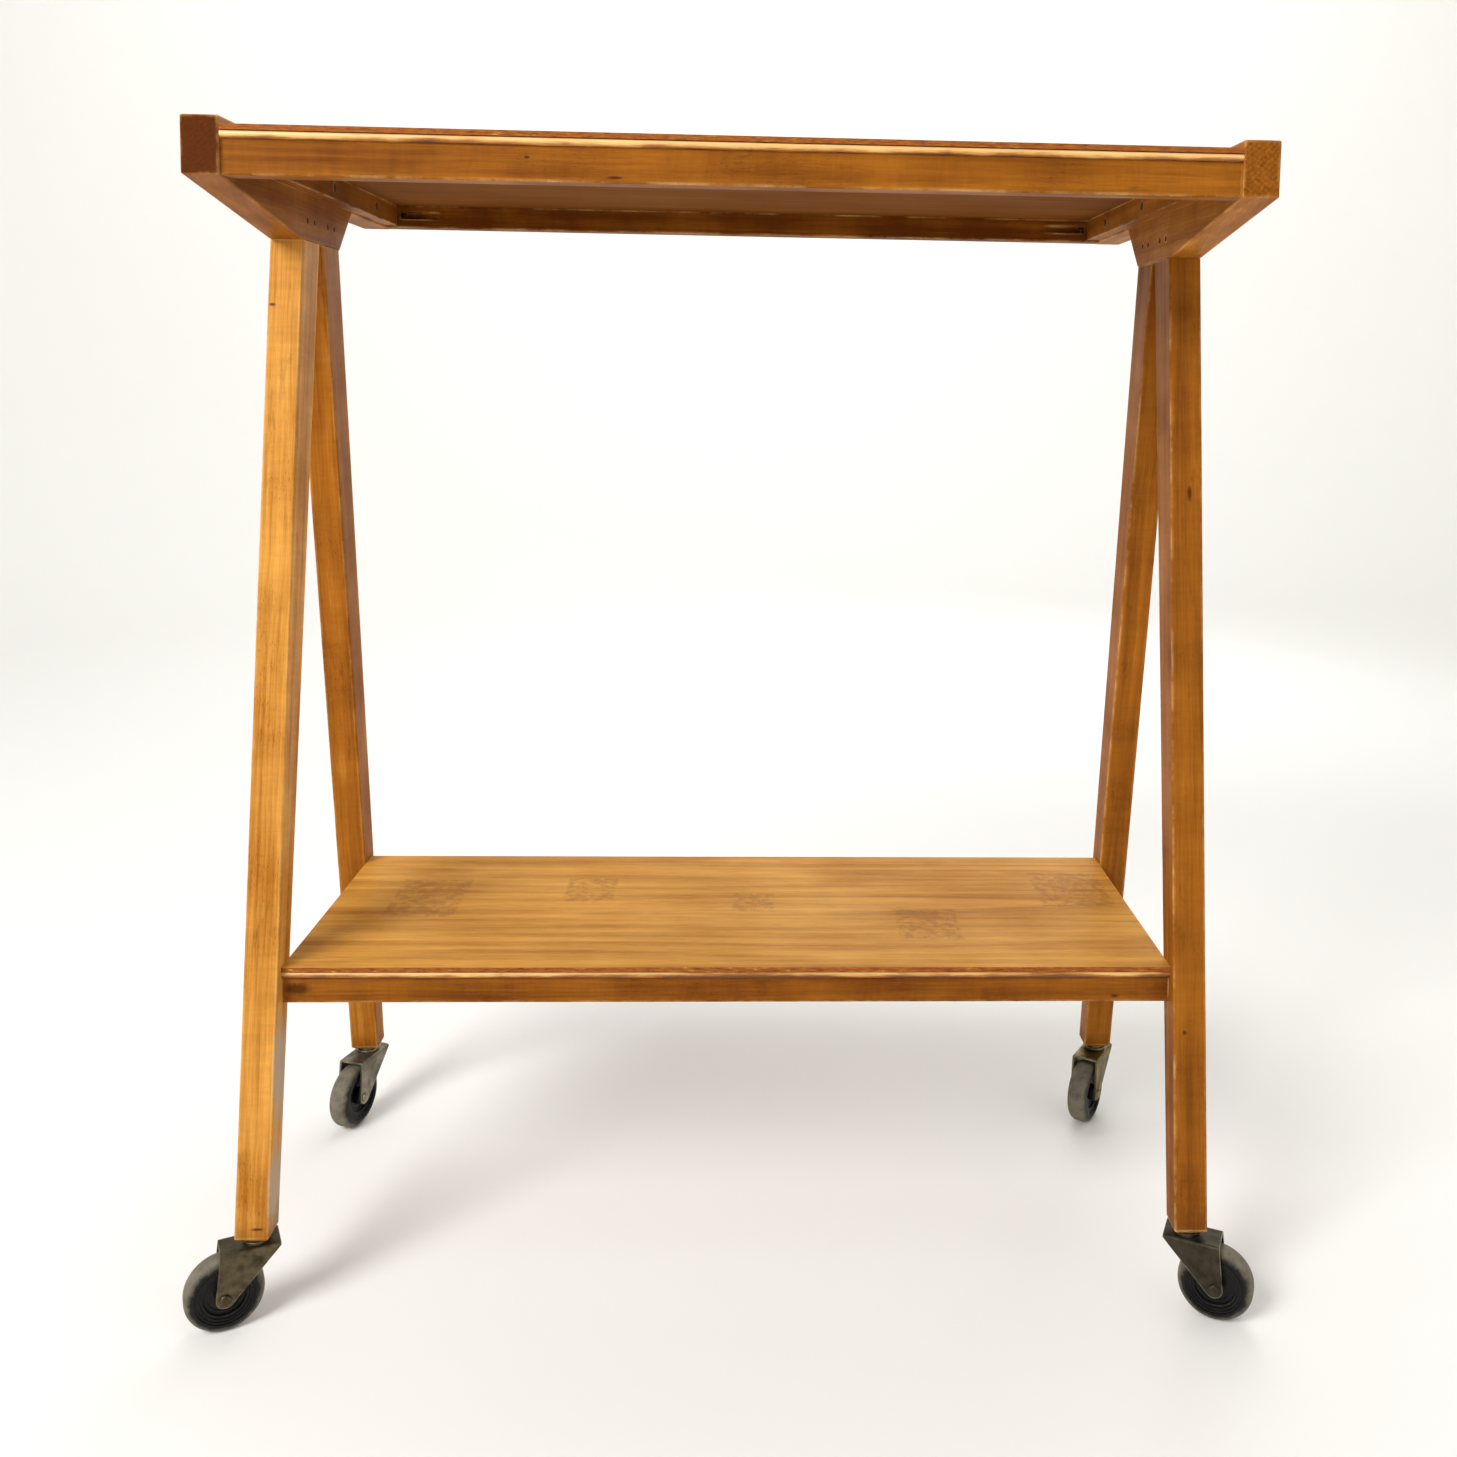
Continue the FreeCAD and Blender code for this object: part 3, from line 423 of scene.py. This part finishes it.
def veneer(name, seed, ghosts, wood):
    """Thin varnished plywood: rotary-cut veneer with long flat figure and fine dark pores, a reddish
    stained edge, an underside drawn dark brown as painted shade, and on the shelf the dull ghosts of old
    labels."""
    material, tree = new_material(name)
    place = add(tree, "TexCoord", out="Object")
    facing = add(tree, "TexCoord", out="Normal")
    sheet = add(tree, "Mapping", {"Vector": place, "Location": (seed, seed, 0)}, vector_type="TEXTURE")

    # The figure runs the panel's whole length, its lines about 12 mm apart; streaks are 9 mm wide.
    slow = add(tree, "VectorMath", {0: sheet, 1: (0.7, 9, 9)}, operation="MULTIPLY")
    figure = add(tree, "TexNoise", {"Vector": slow, "Scale": 1, "Detail": 2})
    lines = add(tree, "Math", {0: figure, 1: 9}, operation="MULTIPLY")
    lines = add(tree, "Math", {0: lines}, operation="FRACT")
    lines = add(tree, "ValToRGB", {"Fac": lines}, stops=((0.0, grey(0)), (0.8, grey(1)), (1, grey(0))))
    streak_place = add(tree, "VectorMath", {0: sheet, 1: (4, 110, 110)}, operation="MULTIPLY")
    streaks = add(tree, "TexNoise", {"Vector": streak_place, "Scale": 1, "Detail": 4, "Roughness": 0.65})
    fine = 1 / wood.fibre_width
    pore_place = add(tree, "VectorMath", {0: sheet, 1: (fine / 22, fine, fine)}, operation="MULTIPLY")
    pores = add(tree, "TexNoise", {"Vector": pore_place, "Scale": 1, "Detail": 2, "Roughness": 0.75})
    blotch = add(tree, "TexNoise", {"Vector": sheet, "Scale": 9, "Detail": 4})
    depth = add(tree, "Math", {0: lines, 1: 0.12, 2: -0.17}, operation="MULTIPLY_ADD")
    depth = add(tree, "Math", {0: streaks, 1: 0.60, 2: depth}, operation="MULTIPLY_ADD")
    depth = add(tree, "Math", {0: pores, 1: 0.35, 2: depth}, operation="MULTIPLY_ADD")
    depth = add(tree, "Math", {0: blotch, 1: 0.40, 2: depth}, operation="MULTIPLY_ADD")
    colour = add(tree, "ValToRGB", {"Fac": depth},
                 stops=((0.32, wood.veneer_pale), (0.78, wood.veneer_dark), (1.0, wood.brown)))

    # Painted shade: faces turned downwards are drawn dark brown and made rougher, as the panels' undersides
    # lie in shade.
    upright = add(tree, "SeparateXYZ", {"Vector": facing}, out="Z")
    underside_painted_shade = add(tree, "MapRange", {
        "Value": upright, "From Min": -0.6, "From Max": -0.9, "To Max": 0.86})
    underside_shade_tone = add(tree, "ValToRGB", {"Fac": streaks}, stops=((0.3, wood.brown), (0.7, wood.end_grain)))
    colour = add(tree, "Mix", {"Factor_Float": underside_painted_shade, "A_Color": colour, "B_Color": underside_shade_tone},
                 out="Result_Color", data_type="RGBA")
    upright = add(tree, "Math", {0: upright}, operation="ABSOLUTE")

    # Label ghosts: blank oblongs of old glue, flaked away in spots about 8 mm across.
    flaked = add(tree, "TexNoise", {"Vector": place, "Scale": 130, "Detail": 3, "Roughness": 0.7})
    for middle, half in ghosts:
        offset = add(tree, "VectorMath", {0: place, 1: (*middle, 0)}, operation="SUBTRACT")
        offset = add(tree, "VectorMath", {0: offset}, operation="ABSOLUTE")
        shares = add(tree, "VectorMath", {0: offset, 1: (*half, 1)}, operation="DIVIDE")
        across = add(tree, "SeparateXYZ", {"Vector": shares}, out="X")
        down = add(tree, "SeparateXYZ", {"Vector": shares}, out="Y")
        out_by = add(tree, "Math", {0: across, 1: down}, operation="MAXIMUM")
        inside = add(tree, "MapRange", {"Value": out_by, "From Min": 1.04, "From Max": 0.94})
        torn = add(tree, "MapRange", {"Value": flaked, "From Min": 0.42, "From Max": 0.58})
        ghost_share = add(tree, "Math", {0: inside, 1: torn}, operation="MULTIPLY")
        ghost_share = add(tree, "Math", {0: ghost_share, 1: 0.38}, operation="MULTIPLY")
        colour = add(tree, "Mix", {"Factor_Float": ghost_share, "A_Color": colour, "B_Color": wood.ghost},
                     out="Result_Color", data_type="RGBA")

    # The edge: stained plies, with chips of pale wood.
    edge_share = add(tree, "MapRange", {"Value": upright, "From Min": 0.7, "From Max": 0.3})
    torn_place = add(tree, "VectorMath", {0: place, 1: (120, 120, 700)}, operation="MULTIPLY")
    torn_grain = add(tree, "TexNoise", {"Vector": torn_place, "Scale": 1, "Detail": 5, "Roughness": 0.7})
    edge_tone = add(tree, "ValToRGB", {"Fac": torn_grain}, stops=(
        (0.34, wood.brown), (0.48, wood.ply_edge), (0.62, wood.veneer_dark), (0.72, wood.bare)))
    colour = add(tree, "Mix", {"Factor_Float": edge_share, "A_Color": colour, "B_Color": edge_tone},
                 out="Result_Color", data_type="RGBA")
    rough = add(tree, "Math", {0: blotch, 1: 0.35, 2: wood.varnish_gloss - 0.10}, operation="MULTIPLY_ADD")
    rough = add(tree, "Math", {0: underside_painted_shade, 1: 0.40, 2: rough}, operation="MULTIPLY_ADD", use_clamp=True)
    bump = add(tree, "Bump", {"Strength": 0.25, "Distance": 0.0003, "Height": pores})
    shader = add(tree, "BsdfPrincipled", {
        "Base Color": colour, "Roughness": rough, "Normal": bump, "IOR": 1.5,
        "Specular IOR Level": 0.06})
    add(tree, "OutputMaterial", {"Surface": shader})
    return material


def rubbed_and_shaded_moulding(name, rubbing, wood):
    """Half-round pine bead, drawn darker below as painted shade and paler on top as a painted highlight,
    with streaks and chips of bare wood along it. More rubbing makes it paler."""
    material, tree = new_material(name)
    place = add(tree, "TexCoord", out="Object")
    facing = add(tree, "TexCoord", out="Normal")
    up = add(tree, "SeparateXYZ", {"Vector": facing}, out="Z")
    streak_place = add(tree, "VectorMath", {0: place, 1: (34, 420, 420)}, operation="MULTIPLY")
    streaks = add(tree, "TexNoise", {"Vector": streak_place, "Scale": 1, "Detail": 6, "Roughness": 0.7})
    slow = add(tree, "TexNoise", {"Vector": place, "Scale": 19, "Detail": 4})
    # Painted shade and highlight: the bead is drawn darker where it faces down and paler where it faces up.
    rubbed = add(tree, "Math", {0: up, 1: 0.30, 2: rubbing}, operation="MULTIPLY_ADD")
    rubbed = add(tree, "Math", {0: streaks, 1: 0.70, 2: rubbed}, operation="MULTIPLY_ADD")
    rubbed = add(tree, "Math", {0: slow, 1: 0.70, 2: rubbed}, operation="MULTIPLY_ADD")
    colour = add(tree, "ValToRGB", {"Fac": rubbed},
                 stops=((0.36, wood.brown), (0.52, wood.amber), (0.70, wood.moulding), (0.92, wood.bare)))
    bump = add(tree, "Bump", {"Strength": 0.3, "Distance": 0.0003, "Height": streaks})
    shader = add(tree, "BsdfPrincipled", {
        "Base Color": colour, "Roughness": 0.42, "Normal": bump, "IOR": 1.5, "Coat Weight": 0.15,
        "Coat Roughness": 0.25})
    add(tree, "OutputMaterial", {"Surface": shader})
    return material


def dark_pin(wood):
    """Sawn ends of hardwood pins: dark, thirsty end grain with fine pores."""
    material, tree = new_material("beech_pin_ends")
    place = add(tree, "TexCoord", out="Object")
    grain_place = add(tree, "VectorMath", {0: place, 1: (60, 1100, 1100)}, operation="MULTIPLY")
    pores = add(tree, "TexNoise", {"Vector": grain_place, "Scale": 1, "Detail": 3})
    colour = add(tree, "ValToRGB", {"Fac": pores}, stops=((0.35, wood.fleck), (0.75, wood.end_grain)))
    bump = add(tree, "Bump", {"Strength": 0.4, "Distance": 0.0003, "Height": pores})
    shader = add(tree, "BsdfPrincipled", {
        "Base Color": colour, "Roughness": 0.7, "Normal": bump, "IOR": 1.5, "Specular IOR Level": 0.05})
    add(tree, "OutputMaterial", {"Surface": shader})
    return material


def aged_zinc(name, metal_colour, roughness, seed):
    """Zinc-plated pressed steel gone dull olive: cloudy plating, brown grime in blotches, and
    bright rubbed edges."""
    material, tree = new_material(name)

    # Clouds about 11 mm across, grime in blotches of 26 mm, and a grit of 1.4 mm.
    place = add(tree, "TexCoord", out="Object")
    own = add(tree, "Mapping", {"Vector": place, "Location": (seed, 0, seed)}, vector_type="TEXTURE")
    cloud = add(tree, "TexNoise", {"Vector": own, "Scale": 90, "Detail": 5, "Roughness": 0.6})
    grime = add(tree, "TexNoise", {"Vector": own, "Scale": 38, "Detail": 4})
    speck = add(tree, "TexNoise", {"Vector": own, "Scale": 700, "Detail": 2})
    dull = tuple(0.42 * part for part in metal_colour)
    pale = tuple(min(1, 1.35 * part) for part in metal_colour)
    colour = add(tree, "ValToRGB", {"Fac": cloud}, stops=((0.32, dull), (0.52, metal_colour), (0.72, pale)))
    grime_share = add(tree, "MapRange", {
        "Value": grime, "From Min": 0.50, "From Max": 0.70, "To Max": 0.65})
    colour = add(tree, "Mix", {"Factor_Float": grime_share, "A_Color": colour, "B_Color": linear("33291a")},
                 out="Result_Color", data_type="RGBA")
    patches = add(tree, "MapRange", {"Value": cloud, "From Min": 0.35, "From Max": 0.60})
    worn = worn_arris(tree, 0.0009, patches)
    colour = add(tree, "Mix", {"Factor_Float": worn, "A_Color": colour, "B_Color": linear("b9b39c")},
                 out="Result_Color", data_type="RGBA")
    rough = add(tree, "Math", {0: grime, 1: 0.40, 2: roughness - 0.15}, operation="MULTIPLY_ADD")
    metal = add(tree, "MapRange", {"Value": grime_share, "From Max": 0.65, "To Min": 1.0, "To Max": 0.55})
    bump = add(tree, "Bump", {"Strength": 0.2, "Distance": 0.0002, "Height": speck})
    shader = add(tree, "BsdfPrincipled", {
        "Base Color": colour, "Metallic": metal, "Roughness": rough, "Normal": bump})
    add(tree, "OutputMaterial", {"Surface": shader})
    return material


def dusty_rubber(name, wheels, dustiness):
    """Moulded black rubber: near-black and slightly shiny in the recesses, with pale floor dust
    and fine scuffs where the tread has run."""
    material, tree = new_material(name)
    place = add(tree, "TexCoord", out="Object")
    tread = add(tree, "Attribute", out="Fac", attribute_name="tread", attribute_type="GEOMETRY")

    # Dust lies in clouds of about 8 mm, and scuffs are 1 mm across.
    cloud = add(tree, "TexNoise", {"Vector": place, "Scale": 120, "Detail": 5, "Roughness": 0.65})
    scuff = add(tree, "TexNoise", {"Vector": place, "Scale": 900, "Detail": 2})
    settled = add(tree, "Math", {0: cloud, 1: 1.6, 2: -0.80}, operation="MULTIPLY_ADD")
    settled = add(tree, "Math", {0: settled, 1: tread}, operation="ADD")
    dust_share = add(tree, "MapRange", {
        "Value": settled, "From Min": 0.20, "From Max": 1.10, "To Max": dustiness})
    colour = add(tree, "Mix", {
        "Factor_Float": dust_share, "A_Color": wheels.rubber, "B_Color": wheels.dust},
        out="Result_Color", data_type="RGBA")
    rough = add(tree, "MapRange", {"Value": dust_share, "To Min": 0.42, "To Max": 0.9})
    bump = add(tree, "Bump", {"Strength": 0.25, "Distance": 0.0002, "Height": scuff})
    shader = add(tree, "BsdfPrincipled", {
        "Base Color": colour, "Roughness": rough, "Normal": bump, "IOR": 1.52,
        "Specular IOR Level": 0.22})
    add(tree, "OutputMaterial", {"Surface": shader})
    return material


def dress(name, material):
    """Give a CAD piece its finish."""
    slots = NODES[name].material_slots
    if not slots:
        NODES[name].data.materials.append(material)
    for each in slots:
        each.material = material


# Mesh building

def clear_selection():
    """Leave edit mode and deselect everything."""
    if bpy.context.object and bpy.context.object.mode != "OBJECT":
        bpy.ops.object.mode_set(mode="OBJECT")
    bpy.ops.object.select_all(action="DESELECT")


def pick(piece, kind, test):
    """Select the piece's faces, edges or vertices that pass the test, and stay in edit mode."""
    bpy.ops.object.mode_set(mode="EDIT")
    bpy.ops.mesh.select_mode(type=kind)
    bpy.ops.mesh.select_all(action="DESELECT")
    bpy.ops.object.mode_set(mode="OBJECT")
    mesh = piece.data
    for item in {"FACE": mesh.polygons, "EDGE": mesh.edges, "VERT": mesh.vertices}[kind]:
        item.select = test(item, mesh)
    bpy.ops.object.mode_set(mode="EDIT")


def is_cap(face, mesh):
    """The flat round face at either end of a wheel part lying along Y."""
    return abs(face.normal.y) > 0.99 and abs(face.center.x) + abs(face.center.z) < 1e-5


def on_circle(radius, depth):
    """A test for the edges of the two circles of that radius, that far from the wheel's middle."""
    def test(edge, mesh):
        ends = [mesh.vertices[index].co for index in edge.vertices]
        same_side = ends[0].y * ends[1].y > 0
        return same_side and all(
            abs(math.hypot(end.x, end.z) - radius) < 1e-4 and abs(abs(end.y) - depth) < 1e-5
            for end in ends)
    return test


def inset_caps(piece, amount):
    """Step both caps inwards by an amount, in their own planes."""
    pick(piece, "FACE", is_cap)
    bpy.ops.mesh.inset(thickness=amount, use_even_offset=True)


def sink_caps(piece, depth, new_depth):
    """Push both caps along the axle, with a wall behind them, to a new distance from the middle."""
    pick(piece, "FACE", is_cap)
    bpy.ops.mesh.extrude_region()
    bpy.ops.transform.resize(value=(1, new_depth / depth, 1))


def open_bore(piece):
    """Take both caps away and join their rims into a bore."""
    pick(piece, "FACE", is_cap)
    bpy.ops.mesh.delete(type="ONLY_FACE")
    pick(piece, "EDGE", lambda edge, mesh: False)
    bpy.ops.mesh.select_non_manifold(extend=False, use_wire=False, use_boundary=True,
                                     use_multi_face=False, use_non_contiguous=False, use_verts=False)
    bpy.ops.mesh.bridge_edge_loops()


def turned_blank(name, radius, width):
    """A wheel blank lying along Y, round the world's origin."""
    clear_selection()
    bpy.ops.mesh.primitive_cylinder_add(vertices=112, radius=radius, depth=width,
                                        rotation=(math.pi / 2, 0, 0))
    piece = bpy.context.object
    piece.name = name
    bpy.ops.object.transform_apply(location=False, rotation=True, scale=False)
    return piece


def round_circle(piece, radius, depth, amount, steps):
    """Round the two circles of that radius."""
    pick(piece, "EDGE", on_circle(radius, depth))
    bpy.ops.mesh.bevel(offset=amount, offset_type="OFFSET", segments=steps, profile=0.5)


def close_shape(piece):
    """Merge doubles, turn the faces outwards and shade the piece smooth."""
    pick(piece, "FACE", lambda face, mesh: True)
    bpy.ops.mesh.remove_doubles(threshold=1e-6)
    bpy.ops.mesh.normals_make_consistent(inside=False)
    bpy.ops.object.mode_set(mode="OBJECT")
    bpy.ops.object.shade_smooth_by_angle(angle=math.radians(40))


def model_tyre(wheels, radius):
    """One solid rubber tyre: a broad round tread, sunk sidewalls and a moulded ridge on each."""
    half = wheels.tyre_width / 2
    step, crest, sunk = half * 0.90, half * 0.97, half * 0.86
    ridge_inner = wheels.ridge_radius - wheels.ridge_width
    tyre = turned_blank("tyre_model", radius, wheels.tyre_width)
    inset_caps(tyre, radius - wheels.step_radius)
    sink_caps(tyre, half, step)
    inset_caps(tyre, wheels.step_radius - wheels.ridge_radius)
    sink_caps(tyre, step, crest)
    inset_caps(tyre, wheels.ridge_width)
    sink_caps(tyre, crest, sunk)
    inset_caps(tyre, ridge_inner - wheels.bore_radius)
    open_bore(tyre)
    round_circle(tyre, radius, half, wheels.tread_round, 12)
    for ring, depth, amount in ((wheels.step_radius, half, 0.0006), (wheels.ridge_radius, crest, 0.0003),
                                (ridge_inner, crest, 0.0003)):
        round_circle(tyre, ring, depth, amount, 3)
    close_shape(tyre)
    return tyre


def model_core(wheels):
    """One wheel core: a rim, a stepped dish and a boss bored for the bush."""
    half = wheels.core_width / 2
    core = turned_blank("core_model", wheels.bore_radius, wheels.core_width)
    inset_caps(core, wheels.bore_radius - wheels.dish_radius)
    sink_caps(core, half, wheels.dish_half)
    inset_caps(core, wheels.ledge_width)
    sink_caps(core, wheels.dish_half, wheels.web_half)
    inset_caps(core, wheels.dish_radius - wheels.ledge_width - wheels.boss_radius)
    sink_caps(core, wheels.web_half, wheels.boss_half)
    inset_caps(core, wheels.boss_radius - wheels.bush_radius)
    open_bore(core)
    for ring, depth, amount in ((wheels.bore_radius, half, 0.0005), (wheels.dish_radius, half, 0.0007),
                                (wheels.boss_radius, wheels.boss_half, 0.0006)):
        round_circle(core, ring, depth, amount, 3)
    close_shape(core)
    return core


def mark_tread(piece, radius):
    """Store where a tread of that radius has picked up dust: all of it, fading down the sides."""
    layer = piece.data.attributes.new("tread", "FLOAT", "POINT")
    for vertex, value in zip(piece.data.vertices, layer.data):
        out = math.hypot(vertex.co.x, vertex.co.z) / radius
        value.value = min(1, max(0, (out - 0.80) / 0.17))


def place_copy(model, name, matrix):
    """A copy of a wheel part with its own mesh, its place kept in the mesh."""
    clear_selection()
    bpy.context.view_layer.objects.active = model
    model.select_set(True)
    bpy.ops.object.duplicate(linked=False)
    piece = bpy.context.object
    piece.name = name
    piece.data.name = name
    piece.matrix_world = matrix
    bpy.ops.object.transform_apply(location=True, rotation=True, scale=True)
    return piece


def remove_model(model):
    """Take away the part that the copies were made from."""
    clear_selection()
    model.select_set(True)
    bpy.ops.object.delete()


def wheel_place(caster):
    """Where a caster's wheel is and how its axle lies."""
    joint = JOINTS[caster + "_roll"]
    turn = Vector(joint["axis"]).to_track_quat("Y", "Z").to_matrix().to_4x4()
    return Matrix.Translation(joint["pos_m"]) @ turn


# Operators

class CART_OT_beech(bpy.types.Operator):
    """Finish the beams, rails, ledgers and legs in varnished beech, each cut from its own board"""
    bl_idname = "cart.beech"
    bl_label = "Beech frame"

    def execute(self, context):
        wood = context.scene.cart_wood
        for name, (grain, heart, brownness_and_shade) in BOARDS.items():
            low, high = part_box(name)
            across = grain.cross(Vector((0, 0, 1))).normalized()
            over = across.cross(grain)
            middle = (low + high) / 2 + across * heart[0] + over * heart[1]
            marks = [mark[1:] for mark in MARKS if mark[0] == name]
            dress(name, beech("varnished_beech_" + name, grain, middle, brownness_and_shade, marks, wood))
        return {"FINISHED"}


class CART_OT_panels(bpy.types.Operator):
    """Finish the top and the shelf in varnished plywood"""
    bl_idname = "cart.panels"
    bl_label = "Panels"

    def execute(self, context):
        wood = context.scene.cart_wood
        dress("top_panel", veneer("varnished_plywood_top", 1.7, (), wood))
        dress("shelf_panel", veneer("varnished_plywood_shelf", 4.3, SHELF_GHOSTS, wood))
        return {"FINISHED"}


class CART_OT_mouldings(bpy.types.Operator):
    """Finish the half-round mouldings under the panels' edges"""
    bl_idname = "cart.mouldings"
    bl_label = "Mouldings"

    def execute(self, context):
        wood = context.scene.cart_wood
        for level, rubbing in (("top", 0.02), ("shelf", -0.20)):
            bead = rubbed_and_shaded_moulding("varnished_pine_bead_" + level, rubbing, wood)
            for side in ("front", "rear"):
                dress(f"{side}_{level}_bead", bead)
        return {"FINISHED"}


class CART_OT_fixings(bpy.types.Operator):
    """Finish the pins, dowels and screws"""
    bl_idname = "cart.fixings"
    bl_label = "Pins and screws"

    def execute(self, context):
        pin = dark_pin(context.scene.cart_wood)
        for name in ("left_head_pins", "right_head_pins", "top_rail_dowels", "shelf_dowels"):
            dress(name, pin)
        dress("ledger_screws", aged_zinc("tarnished_steel_screws", linear("4a3a28"), 0.60, 2.0))
        return {"FINISHED"}


class CART_OT_caster_metal(bpy.types.Operator):
    """Finish the forks, axles, swivel pins, races, sockets and bushes in aged zinc"""
    bl_idname = "cart.caster_metal"
    bl_label = "Caster metal"

    def execute(self, context):
        for seed, (caster, (hex_code, dullness)) in enumerate(PLATING.items()):
            colour = linear(hex_code)
            dress(caster + "_fork", aged_zinc("aged_zinc_fork_" + caster, colour, dullness, 3.0 + seed))
            small = aged_zinc("aged_zinc_fittings_" + caster, colour, dullness - 0.06, 9.0 + seed)
            for part in ("stem", "race", "axle", "wheel_bush", "socket"):
                dress(f"{caster}_{part}", small)
        return {"FINISHED"}


class CART_OT_tyres(bpy.types.Operator):
    """Model the four solid rubber tyres"""
    bl_idname = "cart.tyres"
    bl_label = "Tyres"

    def execute(self, context):
        wheels = context.scene.cart_wheels
        low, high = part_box("front_left_tyre")
        radius = (high.z - low.z) / 2
        model = model_tyre(wheels, radius)
        mark_tread(model, radius)
        model.data.materials.append(dusty_rubber("dusty_black_rubber_tyre", wheels, 0.70))
        for caster in CASTERS:
            tyre = place_copy(model, caster + "_rubber_tyre", wheel_place(caster))
            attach(tyre, caster + "_wheel")
            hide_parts(caster + "_tyre")
        remove_model(model)
        return {"FINISHED"}


class CART_OT_cores(bpy.types.Operator):
    """Model the four moulded wheel cores"""
    bl_idname = "cart.cores"
    bl_label = "Wheel cores"

    def execute(self, context):
        wheels = context.scene.cart_wheels
        model = model_core(wheels)
        mark_tread(model, 1)
        model.data.materials.append(dusty_rubber("black_rubber_core", wheels, 0.10))
        for caster in CASTERS:
            core = place_copy(model, caster + "_moulded_core", wheel_place(caster))
            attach(core, caster + "_wheel")
            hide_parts(caster + "_wheel_hub")
        remove_model(model)
        return {"FINISHED"}


def add_lamp(name, place, size, watts):
    """A large soft lamp aimed at the cart's middle; gives the lamp."""
    clear_selection()
    aim = (CAD_BOX[0] + CAD_BOX[1]) / 2 - Vector(place)
    bpy.ops.object.light_add(type="AREA", location=place, rotation=aim.to_track_quat("-Z", "Y").to_euler())
    lamp = bpy.context.object
    lamp.name = name
    lamp.data.shape = "DISK"
    lamp.data.size = size
    lamp.data.energy = watts
    return lamp


class CART_OT_stage(bpy.types.Operator):
    """Set up the floor, the soft lamps, the even sky and the camera"""
    bl_idname = "cart.stage"
    bl_label = "Studio"

    def execute(self, context):
        stage = context.scene.cart_stage
        clear_selection()
        bpy.ops.mesh.primitive_circle_add(
            vertices=128, radius=stage.floor_radius, fill_type="NGON", location=(0, 0, 0))
        floor = bpy.context.object
        floor.name = "studio_floor"
        pick(floor, "EDGE", lambda edge, mesh: True)
        cove = [math.radians(11.25 * step) for step in range(9)]
        for before, after in zip(cove, cove[1:]):
            reach_before = stage.floor_radius + stage.cove_radius * math.sin(before)
            reach_after = stage.floor_radius + stage.cove_radius * math.sin(after)
            grown = reach_after / reach_before
            rise = stage.cove_radius * (math.cos(before) - math.cos(after))
            bpy.ops.mesh.extrude_edges_indiv()
            bpy.ops.transform.resize(value=(grown, grown, 1), center_override=(0, 0, 0))
            bpy.ops.transform.translate(value=(0, 0, rise))
        bpy.ops.mesh.extrude_edges_indiv()
        bpy.ops.transform.translate(value=(0, 0, stage.wall_rise))
        clear_selection()
        bpy.context.view_layer.objects.active = floor
        floor.select_set(True)
        bpy.ops.object.shade_smooth_by_angle(angle=math.radians(30))
        paper, tree = new_material("matt_studio_floor")
        shader = add(tree, "BsdfPrincipled", {"Base Color": stage.floor, "Roughness": 0.95})
        add(tree, "OutputMaterial", {"Surface": shader})
        floor.data.materials.append(paper)

        add_lamp("key_lamp", (-1.7, -2.1, 2.3), 1.5, stage.key_power)
        add_lamp("fill_lamp", (2.2, -1.9, 1.2), 2.2, stage.fill_power)
        add_lamp("top_lamp", (0.2, 0.3, 2.9), 2.4, stage.top_power)
        add_lamp("back_lamp", (0.8, 2.5, 1.8), 2.0, stage.back_power)
        wall_lamp = add_lamp("wall_lamp", (0, 2.6, 3.6), 2.6, stage.wall_power)
        wall_lamp.rotation_euler = (math.radians(62), 0, 0)

        world = bpy.data.worlds.new("even_sky")
        world.use_nodes = True
        sky = world.node_tree.nodes["Background"]
        sky.inputs["Color"].default_value = (1.0, 0.98, 0.955, 1)
        sky.inputs["Strength"].default_value = stage.sky
        context.scene.world = world
        context.scene.view_settings.view_transform = "Standard"

        clear_selection()
        bpy.ops.object.camera_add(location=stage.eye)
        camera = bpy.context.object
        camera.name = "camera"
        turn = Matrix.Rotation(stage.pan, 4, "Z") @ Matrix.Rotation(math.pi / 2 + stage.tilt, 4, "X")
        turn = turn @ Matrix.Rotation(stage.roll, 4, "Z")
        camera.matrix_world = Matrix.Translation(stage.eye) @ turn
        camera.data.lens = stage.lens
        camera.data.sensor_width = 36
        camera.data.shift_x = stage.shift_x
        camera.data.shift_y = stage.shift_y
        context.scene.camera = camera
        return {"FINISHED"}


class CART_PT_looks(bpy.types.Panel):
    """The cart's looks, step by step"""
    bl_label = "Book cart"
    bl_idname = "CART_PT_looks"
    bl_space_type = "VIEW_3D"
    bl_region_type = "UI"
    bl_category = "Book cart"

    def draw(self, context):
        for step in STEPS:
            self.layout.operator(step.bl_idname)
        for group in (context.scene.cart_wood, context.scene.cart_wheels, context.scene.cart_stage):
            box = self.layout.box()
            for name in group.__annotations__:
                box.prop(group, name)


STEPS = (CART_OT_beech, CART_OT_panels, CART_OT_mouldings, CART_OT_fixings, CART_OT_caster_metal,
         CART_OT_tyres, CART_OT_cores, CART_OT_stage)
CLASSES = (CartWoodSettings, CartWheelSettings, CartStageSettings, *STEPS, CART_PT_looks)


def register():
    """Add the settings, operators and panel to Blender."""
    for each in CLASSES:
        bpy.utils.register_class(each)
    bpy.types.Scene.cart_wood = bpy.props.PointerProperty(type=CartWoodSettings)
    bpy.types.Scene.cart_wheels = bpy.props.PointerProperty(type=CartWheelSettings)
    bpy.types.Scene.cart_stage = bpy.props.PointerProperty(type=CartStageSettings)


def unregister():
    """Take them away again."""
    for name in ("cart_wood", "cart_wheels", "cart_stage"):
        delattr(bpy.types.Scene, name)
    for each in reversed(CLASSES):
        bpy.utils.unregister_class(each)


def main():
    """Build the looks in order."""
    register()
    bpy.ops.cart.beech()
    bpy.ops.cart.panels()
    bpy.ops.cart.mouldings()
    bpy.ops.cart.fixings()
    bpy.ops.cart.caster_metal()
    bpy.ops.cart.tyres()
    bpy.ops.cart.cores()
    bpy.ops.cart.stage()


if __name__ == "__main__":
    main()
